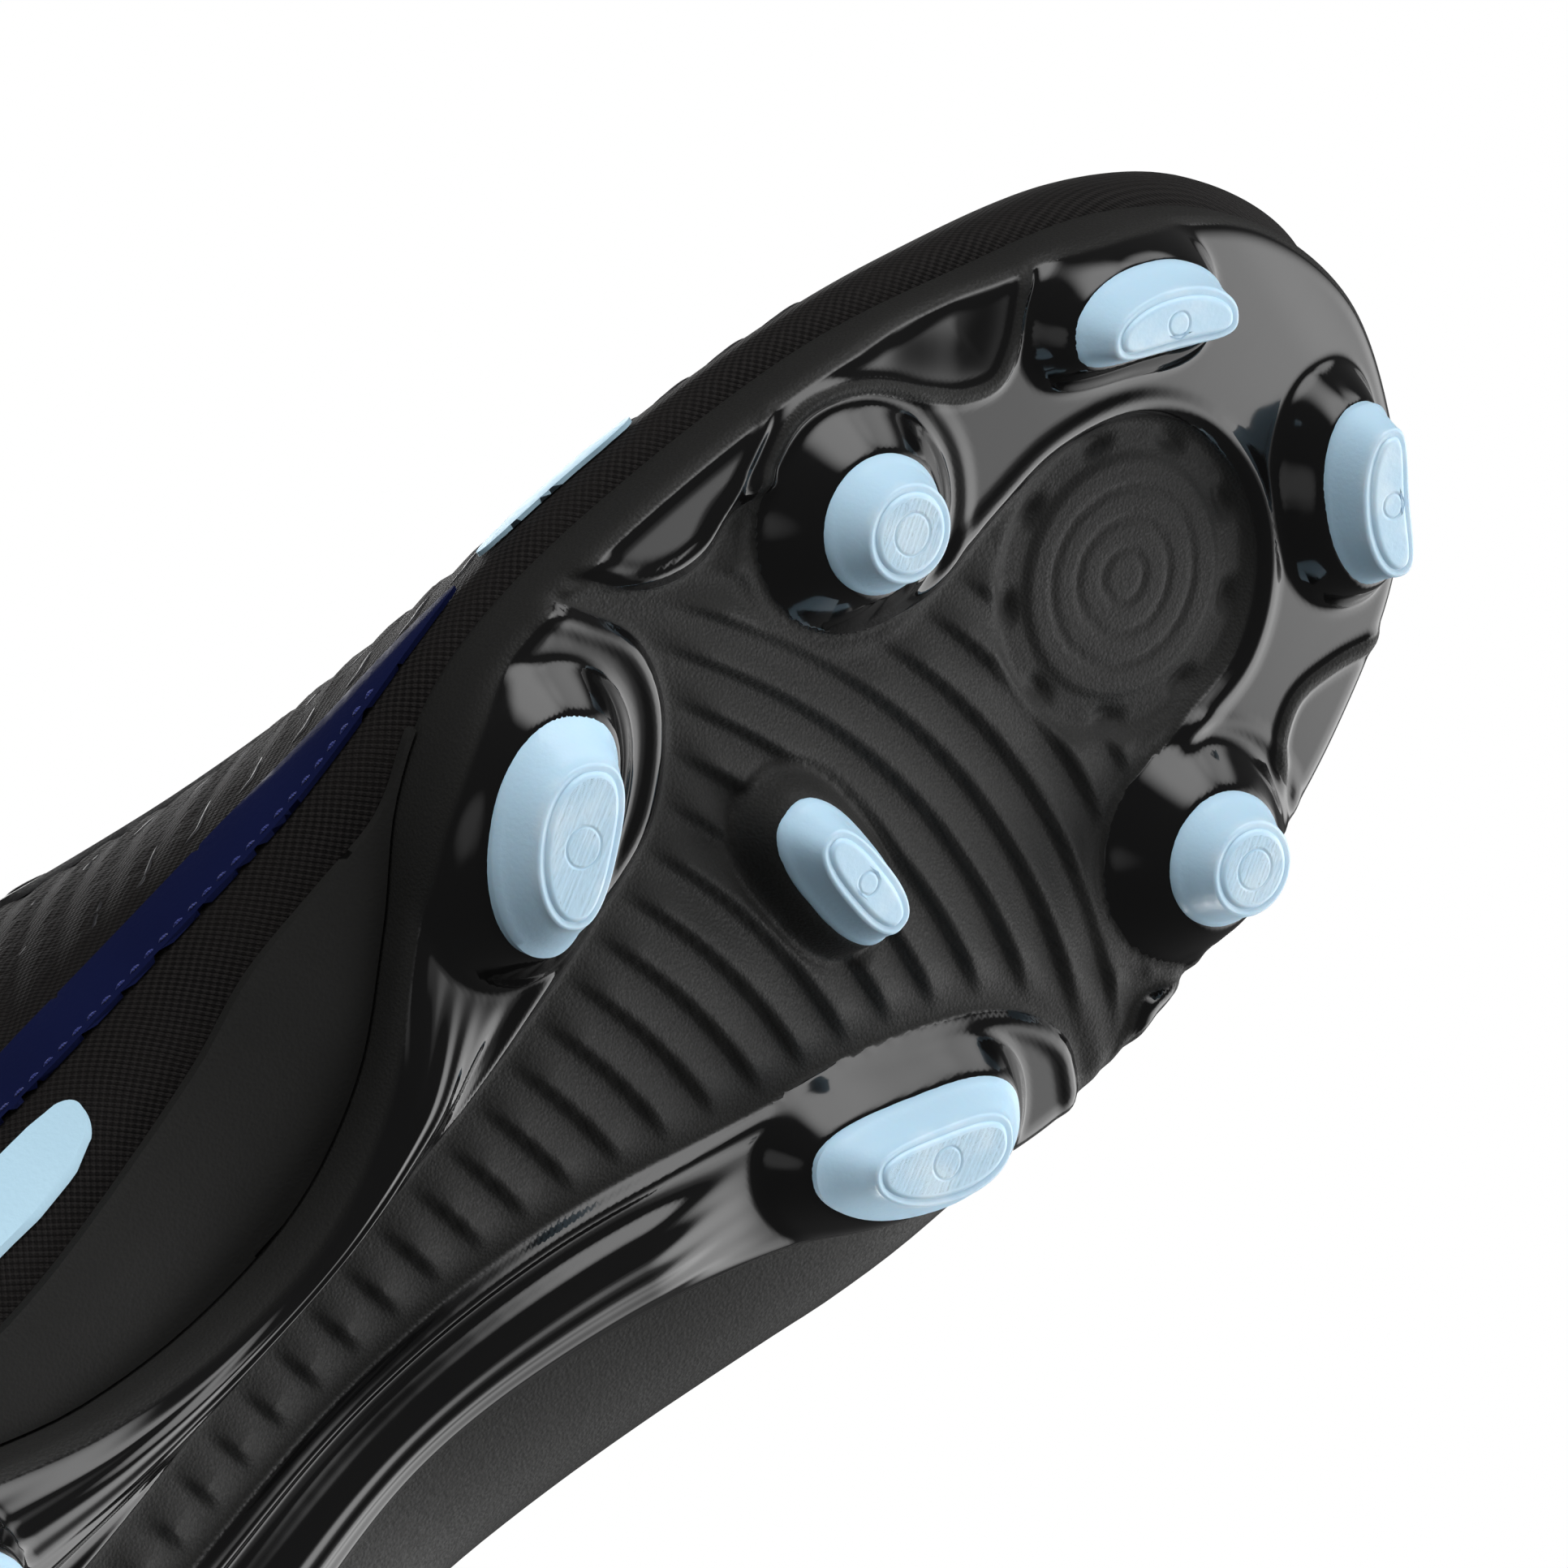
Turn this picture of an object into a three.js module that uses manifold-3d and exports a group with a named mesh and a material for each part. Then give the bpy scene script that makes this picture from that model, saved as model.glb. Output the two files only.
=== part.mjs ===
// Firm-ground football boot, left foot, standing on its studs.
// +X points to the toe, +Y to the lateral side, +Z up; lengths are in millimetres.
import * as THREE from "three";
import { mergeVertices } from "three/addons/utils/BufferGeometryUtils.js";
import Module from "manifold-3d";

// Driving dimensions
const LENGTH = 280;
const WIDTH = 98;
const COLLAR_HEIGHT = 95;
const STUD_HEIGHT = 10.5;
const STUD_TIP_HEIGHT = 5.2;
const PLATE_THICKNESS = 3;
const PLATE_LIP = 4;
const UPPER_THICKNESS = 1.8;
const OVERLAY_THICKNESS = 0.9;
const STIFFENER_THICKNESS = 1.2;
const PADDING_THICKNESS = 5;
const SOCKLINER_THICKNESS = 3.5;
const TONGUE_THICKNESS = 4.5;
const THROAT_WIDTH = 30;
const EYELET_RADIUS = 2;
const EYELET_COUNT = 5;

// Clearances
const GAP = 0.3;
const TONGUE_GAP = 0.9;
const PEG_GAP = 0.2;
const FIT = 0.06;

// Tessellation
const STATIONS = 22;
const AROUND = 24;
const PLATE_STATIONS = 26;
const PLATE_COLUMNS = 10;

const wasm = await Module();
wasm.setup();

// ---------- solids and meshes ----------

function solidFrom(geometry) {
  geometry.deleteAttribute("normal");
  geometry.deleteAttribute("uv");
  const merged = mergeVertices(geometry, 1e-4);
  const index = merged.index ? merged.index.array : merged.attributes.position.array.map((_, i) => i);
  return new wasm.Manifold(new wasm.Mesh({
    numProp: 3,
    vertProperties: new Float32Array(merged.attributes.position.array),
    triVerts: new Uint32Array(index),
  }));
}

function geometryFrom(solid) {
  const mesh = solid.getMesh();
  const geometry = new THREE.BufferGeometry();
  geometry.setAttribute("position", new THREE.BufferAttribute(new Float32Array(mesh.vertProperties), 3));
  geometry.setIndex(new THREE.BufferAttribute(new Uint32Array(mesh.triVerts), 1));
  geometry.computeVertexNormals();
  return geometry;
}

// A closed solid through rings of equal point count; each end closes on a fan.
function loft(rings) {
  const count = rings[0].length;
  const positions = rings.flat(2);
  const triangles = [];
  for (let i = 0; i + 1 < rings.length; i += 1) {
    for (let j = 0; j < count; j += 1) {
      const a = i * count + j;
      const b = i * count + ((j + 1) % count);
      triangles.push(a, b, b + count, a, b + count, a + count);
    }
  }
  const first = 0;
  const last = (rings.length - 1) * count;
  for (let j = 1; j + 1 < count; j += 1) {
    triangles.push(first, first + j + 1, first + j);
    triangles.push(last, last + j, last + j + 1);
  }
  const geometry = new THREE.BufferGeometry();
  geometry.setAttribute("position", new THREE.BufferAttribute(new Float32Array(positions), 3));
  geometry.setIndex(triangles);
  return solidFrom(geometry);
}

function joined(solids) {
  return solids.reduce((whole, next) => whole.add(next));
}

// A prism over a closed outline, in plan (x, y) or from the side (x, z).
function prism(outline, low, high, plane = "plan") {
  const shape = new THREE.Shape(outline.map(([u, v]) => new THREE.Vector2(u, v)));
  const geometry = new THREE.ExtrudeGeometry(shape, { depth: high - low, bevelEnabled: false, steps: 1 });
  geometry.translate(0, 0, plane === "side" ? -high : low);
  if (plane === "side") {
    geometry.rotateX(Math.PI / 2);
  }
  return solidFrom(geometry);
}

// ---------- profiles ----------

// Stations run in percent of the length from the heel, heights in percent of the collar height.
const along = (percent) => (percent / 100 - 0.5) * LENGTH;
const across = (percent) => (percent / 100) * WIDTH;
const percentAt = (x) => (x / LENGTH + 0.5) * 100;

// A smooth curve through [station, value] knots, flat beyond its ends.
function profile(knots) {
  return (x) => {
    const t = percentAt(x);
    const last = knots.length - 1;
    if (t <= knots[0][0]) {
      return knots[0][1];
    }
    if (t >= knots[last][0]) {
      return knots[last][1];
    }
    const i = knots.findIndex((knot) => knot[0] > t) - 1;
    const slope = (k) => {
      if (k === 0 || k === last) {
        return 0;
      }
      return (knots[k + 1][1] - knots[k - 1][1]) / (knots[k + 1][0] - knots[k - 1][0]);
    };
    const span = knots[i + 1][0] - knots[i][0];
    const s = (t - knots[i][0]) / span;
    const s2 = s * s;
    const s3 = s2 * s;
    return (2 * s3 - 3 * s2 + 1) * knots[i][1] + (s3 - 2 * s2 + s) * span * slope(i)
      + (3 * s2 - 2 * s3) * knots[i + 1][1] + (s3 - s2) * span * slope(i + 1);
  };
}

// A closed smooth outline through [station %, across %] points.
function smoothOutline(points, samples) {
  const curve = new THREE.CatmullRomCurve3(
    points.map(([t, w]) => new THREE.Vector3(along(t), across(w), 0)), true, "centripetal");
  return curve.getPoints(samples).slice(0, samples).map((p) => [p.x, p.y]);
}

// Medial and lateral edges of an outline at a station.
function edgesOf(outline) {
  return (x) => {
    const hits = [];
    outline.forEach(([x0, y0], i) => {
      const [x1, y1] = outline[(i + 1) % outline.length];
      if ((x0 - x) * (x1 - x) <= 0 && x0 !== x1) {
        hits.push(y0 + ((x - x0) / (x1 - x0)) * (y1 - y0));
      }
    });
    return hits.length ? [Math.min(...hits), Math.max(...hits)] : null;
  };
}

const UPPER_OUTLINE = smoothOutline([
  [100, 4], [98, 24], [94.3, 36.5], [88, 44.5], [79.3, 49.8], [71.4, 51.4], [62.9, 50], [53.6, 46.8],
  [42.9, 44.6], [32.1, 42.6], [21.4, 38.3], [10.7, 33], [3.8, 23], [0.4, 11], [0, 0.5],
  [0.4, -10], [3.8, -20.5], [10.7, -30], [21.4, -33.5], [32.1, -33.5], [42.9, -37.5], [53.6, -43.2], [61.4, -47.8],
  [68.6, -48.8], [77.9, -45], [85.4, -38], [92.9, -26.8], [98, -12.5],
], 84);

const PLATE_OUTLINE = smoothOutline([
  [99, 5], [97.7, 20], [94.6, 31.8], [88, 41], [79.3, 47.5], [71.4, 49.3], [67.1, 47.3], [61.5, 40.5],
  [55, 31], [47.9, 24.5], [41.4, 21.8], [34, 24], [26, 29], [17.9, 30], [8.6, 25], [3, 14], [1.2, 0.5],
  [3, -12], [8.6, -22.5], [17.9, -27], [26, -22.5], [33, -13.5], [39, -9.8], [44, -11], [48.5, -17.5],
  [52.5, -28.5], [56, -39], [60, -45.3], [66, -47.3], [77.9, -43], [85.4, -35.5], [92.1, -26], [97, -12],
], 66);

const upperEdges = edgesOf(UPPER_OUTLINE);
const plateEdges = edgesOf(PLATE_OUTLINE);

// Underside of the plate above the ground: heel seat, arch, flat forefoot and toe spring.
const soleRise = profile([
  [0, 4.5], [6, 2.6], [16, 2], [24, 2.6], [34, 4.7], [41, 5.5], [50, 3.2], [57, 0.9], [63, 0],
  [84, 0], [90, 0.7], [95, 2.3], [99.5, 5],
]);
const plateBody = profile([[0, 1], [20, 1.1], [41, 1.4], [60, 1.05], [70, 1], [100, 0.9]]);
const plateUnderside = (x) => STUD_HEIGHT + soleRise(x);
const upperBottom = (x) => plateUnderside(x) + PLATE_THICKNESS * plateBody(x);

// Crest of the closed last, before the collar and the throat are cut.
const crest = profile([
  [0, 118], [40, 118], [46, 110], [54, 94], [64, 78], [75, 67.5], [84, 60.5], [91, 53.5], [96, 45.5],
  [99, 38], [100, 35],
]);
const widestRise = profile([
  [0, 28], [20, 25], [38, 23], [46, 19], [54, 12], [62, 7.8], [72, 6.4], [84, 6.6], [92, 7.5],
  [96, 8.5], [100, 9],
]);
const crownPower = profile([
  [0, 3.4], [12, 3], [28, 2.1], [38, 1.92], [46, 1.5], [54, 1.33], [62, 1.26], [72, 1.25], [82, 1.34],
  [90, 1.55], [95, 1.85], [100, 2.2],
]);
const crownShift = profile([
  [0, 0], [30, 0], [50, -2.5], [65, -3.5], [80, -3], [92, -1], [100, 0],
]);
const FEATHER_POWER = 3.6;
const TOE_ROUNDING = 12;
const HEEL_ROUNDING = 9;
const HEEL_LEAN = 9;

const heightOf = (percent) => (percent / 100) * COLLAR_HEIGHT;
const signedPower = (value, power) => Math.sign(value) * Math.abs(value) ** power;

// How far a section has closed towards an end of the last, from 1 down to 0.
function closing(x, end, depth) {
  const past = Math.max(0, end * x - (LENGTH / 2 - depth)) / depth;
  return Math.sqrt(Math.max(0.002, 1 - past * past));
}

// One section of the last, grown outwards by `grow` (inwards when negative).
function lastRing(xNominal, grow, growBottom) {
  const [medial, lateral] = upperEdges(xNominal);
  const x = xNominal * (1 + grow / (LENGTH / 2));
  const widest = upperBottom(xNominal) + widestRise(xNominal);
  const toe = closing(xNominal, 1, TOE_ROUNDING);
  const heel = closing(xNominal, -1, HEEL_ROUNDING);
  const below = (widest - upperBottom(xNominal)) * toe * heel + growBottom;
  const above = (heightOf(crest(xNominal)) - widest) * toe + grow;
  const half = Math.max(0.4, (lateral - medial) / 2 + grow);
  const middle = (lateral + medial) / 2;
  const ring = [];
  for (let j = 0; j < AROUND; j += 1) {
    const angle = (j / AROUND) * 2 * Math.PI - Math.PI / 2;
    const power = Math.sin(angle) < 0 ? 2 / FEATHER_POWER : 2 / crownPower(xNominal);
    const spread = signedPower(Math.cos(angle), power);
    const lift = signedPower(Math.sin(angle), power);
    const shift = lift > 0 ? crownShift(xNominal) * lift * lift : 0;
    const lean = lift > 0 ? HEEL_LEAN * lift * lift * (1 - Math.min(1, percentAt(xNominal) / 30)) : 0;
    ring.push([x + lean, middle + shift + half * spread, widest + (lift < 0 ? below : above) * lift]);
  }
  return ring;
}

// Stations crowd towards the rounded ends.
const stationX = (i, count) => -Math.cos((i / count) * Math.PI) * (LENGTH / 2) * 0.9995;

// The closed last, all round.
function last(grow, growBottom = grow) {
  const rings = [];
  for (let i = 0; i <= STATIONS; i += 1) {
    rings.push(lastRing(stationX(i, STATIONS), grow, growBottom));
  }
  return loft(rings);
}

// The slice between two heights that follow the length, wider than the boot.
function ribbon(low, high) {
  const rings = [];
  for (let i = 0; i <= STATIONS; i += 1) {
    const x = stationX(i, STATIONS);
    const past = i === 0 || i === STATIONS ? 1.05 : 1;
    rings.push([
      [x * past, -WIDTH, low(x)],
      [x * past, WIDTH, low(x)],
      [x * past, WIDTH, high(x)],
      [x * past, -WIDTH, high(x)],
    ]);
  }
  return loft(rings);
}

// A layer that follows the last between two distances from it.
const layer = (inner, outer) => last(outer).subtract(last(inner));

// ---------- plate ----------

// Relief of the underside: two rails that run back from the big studs, and the round pocket.
const railPath = {
  medial: profile([[10, -12], [20, -14], [30, -8], [40, -4], [46, -8], [52, -17], [57, -27], [63, -35]]),
  lateral: profile([[10, 14], [20, 17], [30, 16], [40, 14.5], [46, 17], [52, 21], [58, 27], [66, 36]]),
};
const railDepth = profile([[8, 0.5], [20, 2.5], [35, 3.4], [50, 3.6], [58, 3], [64, 1.2], [68, 0]]);
const railHalfWidth = profile([[10, 8], [30, 7.5], [42, 6.5], [55, 9], [64, 11]]);
const POCKET = { x: along(83.9), y: across(5), radius: 19, depth: 0.9 };

function bump(distance) {
  const d = Math.min(1, Math.abs(distance));
  return (1 - d * d) ** 2;
}

function plateRelief(x, y) {
  const rails = ["medial", "lateral"].map((side) => (
    railDepth(x) * bump((y - across(railPath[side](x))) / railHalfWidth(x))));
  const away = Math.hypot(x - POCKET.x, y - POCKET.y) / POCKET.radius;
  return Math.max(...rails) - POCKET.depth * bump(away);
}

// The underside as a surface of depth over the plan, closed by a flat top above the lip.
function reliefSlab() {
  const rows = PLATE_STATIONS;
  const columns = PLATE_COLUMNS;
  const top = STUD_HEIGHT + 26;
  const positions = [];
  const at = (level, i, j) => (level * (rows + 1) + i) * (columns + 1) + j;
  [0, 1].forEach((level) => {
    for (let i = 0; i <= rows; i += 1) {
      const x = stationX(i, rows) * 1.001;
      for (let j = 0; j <= columns; j += 1) {
        const y = across(-52 + (104 * j) / columns);
        positions.push(x, y, level ? top : plateUnderside(x) - plateRelief(x, y));
      }
    }
  });
  const triangles = [];
  const quad = (a, b, c, d) => triangles.push(a, b, c, a, c, d);
  for (let i = 0; i < rows; i += 1) {
    for (let j = 0; j < columns; j += 1) {
      quad(at(0, i, j), at(0, i, j + 1), at(0, i + 1, j + 1), at(0, i + 1, j));
      quad(at(1, i, j), at(1, i + 1, j), at(1, i + 1, j + 1), at(1, i, j + 1));
    }
    quad(at(0, i, 0), at(0, i + 1, 0), at(1, i + 1, 0), at(1, i, 0));
    quad(at(0, i, columns), at(1, i, columns), at(1, i + 1, columns), at(0, i + 1, columns));
  }
  for (let j = 0; j < columns; j += 1) {
    quad(at(0, 0, j), at(1, 0, j), at(1, 0, j + 1), at(0, 0, j + 1));
    quad(at(0, rows, j), at(0, rows, j + 1), at(1, rows, j + 1), at(1, rows, j));
  }
  const geometry = new THREE.BufferGeometry();
  geometry.setAttribute("position", new THREE.BufferAttribute(new Float32Array(positions), 3));
  geometry.setIndex(triangles);
  return solidFrom(geometry);
}

// ---------- studs ----------

// Half sizes of the black root, of the tip where it leaves the root and of its ground face,
// then how square, bent and egg-shaped the outline is.
const ROUND = { root: [11.5, 11.5], base: [7.4, 7.4], face: [5.2, 5.2], power: 2, bend: 0, egg: 0 };
const TOE_BLADE = { root: [13, 8.5], base: [10, 4.9], face: [8.2, 3.1], power: 2.6, bend: 1.6, egg: 0 };
const MEDIAL_BLADE = { root: [17, 11.5], base: [12.6, 7.2], face: [8.6, 5], power: 2.3, bend: 1, egg: 0.12 };
const LATERAL_BLADE = { root: [17, 10], base: [13.4, 6.6], face: [9, 4.2], power: 2.4, bend: -1, egg: 0.12 };
const CENTRE_BLADE = { root: [11.3, 6.2], base: [10, 4.6], face: [7.4, 2.9], power: 2.6, bend: 0, egg: 0 };
const HEEL_BLADE = { root: [15, 9], base: [11, 5.8], face: [8.2, 3.9], power: 2.5, bend: 1.4, egg: 0 };

// Each stud: place in percent, angle of its long side in degrees, shape, and lift off the ground.
const STUDS = [
  { name: "stud_toe_medial", at: [89.6, -20.4], angle: 32, shape: TOE_BLADE, lift: 0.4 },
  { name: "stud_toe_lateral", at: [93.4, 17.7], angle: -61, shape: TOE_BLADE, lift: 1.3 },
  { name: "stud_round_medial", at: [75.9, -27], angle: 0, shape: ROUND, lift: 0 },
  { name: "stud_round_lateral", at: [80.2, 36.7], angle: 0, shape: ROUND, lift: 0 },
  { name: "stud_blade_medial", at: [58.5, -29.8], angle: -44, shape: MEDIAL_BLADE, lift: 0 },
  { name: "stud_blade_lateral", at: [63.2, 33], angle: 31, shape: LATERAL_BLADE, lift: 0 },
  { name: "stud_centre", at: [66.9, 0.2], angle: 85, shape: CENTRE_BLADE, lift: 0.4 },
  { name: "stud_heel_front_medial", at: [22.5, -15.5], angle: -6, shape: HEEL_BLADE, lift: 0 },
  { name: "stud_heel_front_lateral", at: [22.5, 19.5], angle: 186, shape: HEEL_BLADE, lift: 0 },
  { name: "stud_heel_rear_medial", at: [9.6, -11], angle: -32, shape: HEEL_BLADE, lift: 0 },
  { name: "stud_heel_rear_lateral", at: [9.6, 13.5], angle: 212, shape: HEEL_BLADE, lift: 0 },
];
const STUD_SIDES = 14;
const PEG_SIDES = 6;
const PEG_REACH = 2.6;

// A closed outline round a stud, bent and egg-shaped along its long side.
function studRing(stud, [halfLength, halfWidth], z, count) {
  const { power, bend, egg } = stud.shape;
  const turn = (stud.angle / 180) * Math.PI;
  const [cx, cy] = [along(stud.at[0]), across(stud.at[1])];
  const ring = [];
  for (let k = 0; k < count; k += 1) {
    const t = (k / count) * 2 * Math.PI;
    const u = signedPower(Math.cos(t), 2 / power);
    const v = signedPower(Math.sin(t), 2 / power);
    const a = u * halfLength;
    const b = v * halfWidth * (1 + egg * u) + bend * (u * u - 0.4) * (halfLength / 10);
    ring.push([cx + a * Math.cos(turn) - b * Math.sin(turn), cy + a * Math.sin(turn) + b * Math.cos(turn), z]);
  }
  return ring;
}

function between(from, to, share) {
  return from.map((value, i) => value + (to[i] - value) * share);
}

// The black root that the plate grows round a stud, flared where it meets the sole.
function studRoot(stud) {
  const { root, base } = stud.shape;
  const top = plateUnderside(along(stud.at[0])) + 1.2;
  const end = stud.lift + STUD_TIP_HEIGHT + PEG_GAP;
  const levels = [[0, base], [0.6, between(base, root, 0.3)], [1, root]];
  return loft(levels.map(([share, size]) => studRing(stud, size, end + (top - end) * share, STUD_SIDES)));
}

function peg(stud, grow) {
  const low = stud.lift + STUD_TIP_HEIGHT - (grow ? 1 : 0.5);
  const high = stud.lift + STUD_TIP_HEIGHT + PEG_REACH + grow;
  const size = stud.shape.face.map((half) => half * 0.6 + grow);
  return loft([low, high].map((z) => studRing(stud, size, z, PEG_SIDES)));
}

// The light coloured tip: drafted sides, a rounded rim, a flat ground face and a peg into the root.
function studTip(stud) {
  const { base, face } = stud.shape;
  const levels = [[0, face.map((half) => half - 0.5)], [0.08, face], [0.2, between(face, base, 0.16)], [1, base]];
  const body = loft(levels.map(([share, size]) => (
    studRing(stud, size, stud.lift + STUD_TIP_HEIGHT * share, STUD_SIDES))));
  return body.add(peg(stud, 0));
}

function outsolePlate() {
  const lipTop = ribbon(() => -20, (x) => upperBottom(x) + PLATE_LIP);
  const slab = reliefSlab().intersect(prism(PLATE_OUTLINE, -10, 80)).intersect(lipTop);
  const withRoots = slab.add(joined(STUDS.map(studRoot)));
  const sockets = joined(STUDS.map((stud) => peg(stud, PEG_GAP)));
  return withRoots.subtract(last(GAP)).subtract(sockets);
}

// ---------- cutters ----------

// The top line: high at the heel, low under the ankle, up to the end of the throat.
const topLine = profile([
  [0, 101], [4, 100.5], [9, 96], [16, 88], [23, 84], [30, 85.5], [37, 93], [43, 104.5], [47, 109],
]);
const TOP_LINE_END = 47;

function aboveTopLine(drop = 0) {
  const low = (t) => heightOf(topLine(along(t))) - drop;
  const points = [[along(-20), COLLAR_HEIGHT * 1.6], [along(-20), low(0)]];
  for (let t = 0; t <= TOP_LINE_END; t += 2.35) {
    points.push([along(t), low(t)]);
  }
  points.push([along(TOP_LINE_END), COLLAR_HEIGHT * 1.6]);
  return prism(points, -WIDTH, WIDTH, "side");
}

// The throat in plan: rounded in front, opening towards the collar.
const THROAT_FRONT = 71.5;
const THROAT_REAR = 40;
const TONGUE_TOP = 36.5;
const EYESTAY_WIDTH = 13;
const EYESTAY_STATIONS = [69, 63, 57, 51, 47.2];
const EYELET_INSET = 7;
const EYELET_FIRST = 67;
const EYELET_LAST = 49.5;

function throatEdge(t) {
  const share = (THROAT_FRONT - t) / (THROAT_FRONT - THROAT_REAR);
  return { middle: across(-4.5 * (1 - share)), half: THROAT_WIDTH * (0.33 + 0.2 * share) };
}

// `inset` narrows the outline on all sides but the rear, which ends at `rear`.
function throatOutline(inset, rear = THROAT_REAR) {
  const front = along(THROAT_FRONT);
  const { middle, half } = throatEdge(THROAT_FRONT);
  const nose = half - inset;
  const points = [];
  for (let k = -6; k <= 6; k += 1) {
    const a = (k / 6) * (Math.PI / 2);
    points.push([front - half + nose * Math.cos(a), middle + nose * Math.sin(a)]);
  }
  const stations = [64, 58, 52, 46, rear];
  stations.forEach((t) => points.push([along(t), throatEdge(t).middle + throatEdge(t).half - inset]));
  stations.reverse();
  stations.forEach((t) => points.push([along(t), throatEdge(t).middle - throatEdge(t).half + inset]));
  return points;
}

// An outline moved inwards along its own normals.
function insetOutline(outline, inset) {
  const count = outline.length;
  const turn = outlineTurn(outline);
  return outline.map(([x, y], i) => {
    const [x0, y0] = outline[(i + count - 1) % count];
    const [x1, y1] = outline[(i + 1) % count];
    const length = Math.hypot(x1 - x0, y1 - y0);
    return [x - (turn * inset * (y1 - y0)) / length, y + (turn * inset * (x1 - x0)) / length];
  });
}

// +1 for an outline that runs counterclockwise, -1 for a clockwise one.
function outlineTurn(outline) {
  const area = outline.reduce((sum, [x, y], i) => {
    const [nextX, nextY] = outline[(i + 1) % outline.length];
    return sum + x * nextY - nextX * y;
  }, 0);
  return Math.sign(area);
}

const SIDES = { medial: [-WIDTH, -1], lateral: [1, WIDTH], both: [-WIDTH, WIDTH] };

// A cutter over one side or both, smooth in side view through [station %, height %] points.
function sideCutter(points, side) {
  const curve = new THREE.CatmullRomCurve3(
    points.map(([t, h]) => new THREE.Vector3(along(t), heightOf(h), 0)), true, "centripetal");
  const outline = curve.getPoints(points.length * 3).slice(0, -1).map((p) => [p.x, p.y]);
  return prism(outline, ...SIDES[side], "side");
}

// Height of the last grown by `grow` over a point in plan, and the slope of its section there.
function crownAt(x, y, grow) {
  const ring = lastRing(x / (1 + grow / (LENGTH / 2)), grow, grow);
  const quarter = AROUND / 4;
  const j = ring.findIndex(([, ringY], k) => k > quarter && k < 3 * quarter && ringY <= y);
  const [, y0, z0] = ring[j - 1];
  const [, y1, z1] = ring[j];
  return { z: z0 + ((y0 - y) / (y0 - y1)) * (z1 - z0), slope: (z1 - z0) / (y1 - y0) };
}

// ---------- upper and its layers ----------

const FEATHER_INSET = 9;
const SOLE_REACH = 9;
const LINING = UPPER_THICKNESS + GAP;
const soleSlice = ribbon(() => -20, (x) => upperBottom(x) + SOLE_REACH);
const outerShell = layer(-UPPER_THICKNESS, 0);
const collarOpening = aboveTopLine();
const throat = prism(throatOutline(0), STUD_HEIGHT + 30, COLLAR_HEIGHT * 2);

// Eyelets run beside the throat, square to the surface.
function eyelets(side) {
  const sign = side === "medial" ? -1 : 1;
  const holes = [];
  for (let k = 0; k < EYELET_COUNT; k += 1) {
    const t = EYELET_FIRST - (k * (EYELET_FIRST - EYELET_LAST)) / (EYELET_COUNT - 1);
    const edge = throatEdge(t);
    const y = edge.middle + sign * (edge.half + EYELET_INSET);
    const surface = crownAt(along(t), y, GAP);
    const hole = new THREE.CylinderGeometry(EYELET_RADIUS, EYELET_RADIUS, 12, 6);
    hole.rotateX(Math.PI / 2);
    hole.rotateX(Math.atan(surface.slope));
    hole.translate(along(t), y, surface.z);
    holes.push(solidFrom(hole));
  }
  return joined(holes);
}

function upperShell() {
  const soleHole = prism(insetOutline(UPPER_OUTLINE, FEATHER_INSET), -10, 80).intersect(soleSlice);
  return outerShell.subtract(soleHole).subtract(collarOpening).subtract(throat)
    .subtract(eyelets("medial")).subtract(eyelets("lateral"));
}

// The lasting board closes the upper's sole inside its stitched feather edge.
function lastingBoard() {
  const outline = insetOutline(UPPER_OUTLINE, FEATHER_INSET + GAP);
  return outerShell.intersect(prism(outline, -10, 80)).intersect(soleSlice);
}

function sockliner() {
  const top = (x) => upperBottom(x) + LINING + SOCKLINER_THICKNESS;
  return last(-LINING - STIFFENER_THICKNESS - GAP, -LINING).intersect(ribbon(() => -20, top));
}

// Stiffeners and padding line the upper from just above the sockliner.
function insideLayer(thickness, cutter) {
  const above = ribbon((x) => upperBottom(x) + LINING + SOCKLINER_THICKNESS + 3 * GAP, () => 300);
  return layer(-LINING - thickness, -LINING).intersect(cutter).intersect(above);
}

const toePuff = () => insideLayer(STIFFENER_THICKNESS, sideCutter(
  [[88, 0], [88.5, 30], [91, 62], [100, 90], [110, 60], [110, 0]], "both"));

const heelCounter = () => insideLayer(STIFFENER_THICKNESS, sideCutter(
  [[-6, 0], [-6, 60], [5, 66], [14, 58], [22, 42], [27, 22], [27, 0]], "both"));

const collarPadding = () => insideLayer(PADDING_THICKNESS, sideCutter(
  [[-8, 74], [4, 71], [14, 63], [22, 52], [30, 50], [38, 60], [44, 78], [47, 96], [43, 130], [-8, 130]],
  "both")).subtract(aboveTopLine(1)).subtract(prism(throatOutline(-1), 0, COLLAR_HEIGHT * 2))
  .subtract(layer(-UPPER_THICKNESS - FIT, 0));

// The tongue fills the throat and stands up in front of the ankle.
function tongue() {
  const outline = throatOutline(TONGUE_GAP, TONGUE_TOP);
  const strip = prism(outline, STUD_HEIGHT + 30, COLLAR_HEIGHT * 2);
  const shellRoom = layer(-UPPER_THICKNESS - FIT, FIT).subtract(prism(throatOutline(FIT), 0, COLLAR_HEIGHT * 2));
  return layer(-TONGUE_THICKNESS - GAP, -GAP).intersect(strip).subtract(shellRoom.subtract(collarOpening));
}

// A thin piece laid on the outside of the upper.
function overlay(cutter, thickness = OVERLAY_THICKNESS) {
  return layer(GAP, GAP + thickness).intersect(cutter).subtract(aboveTopLine(1));
}

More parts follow.
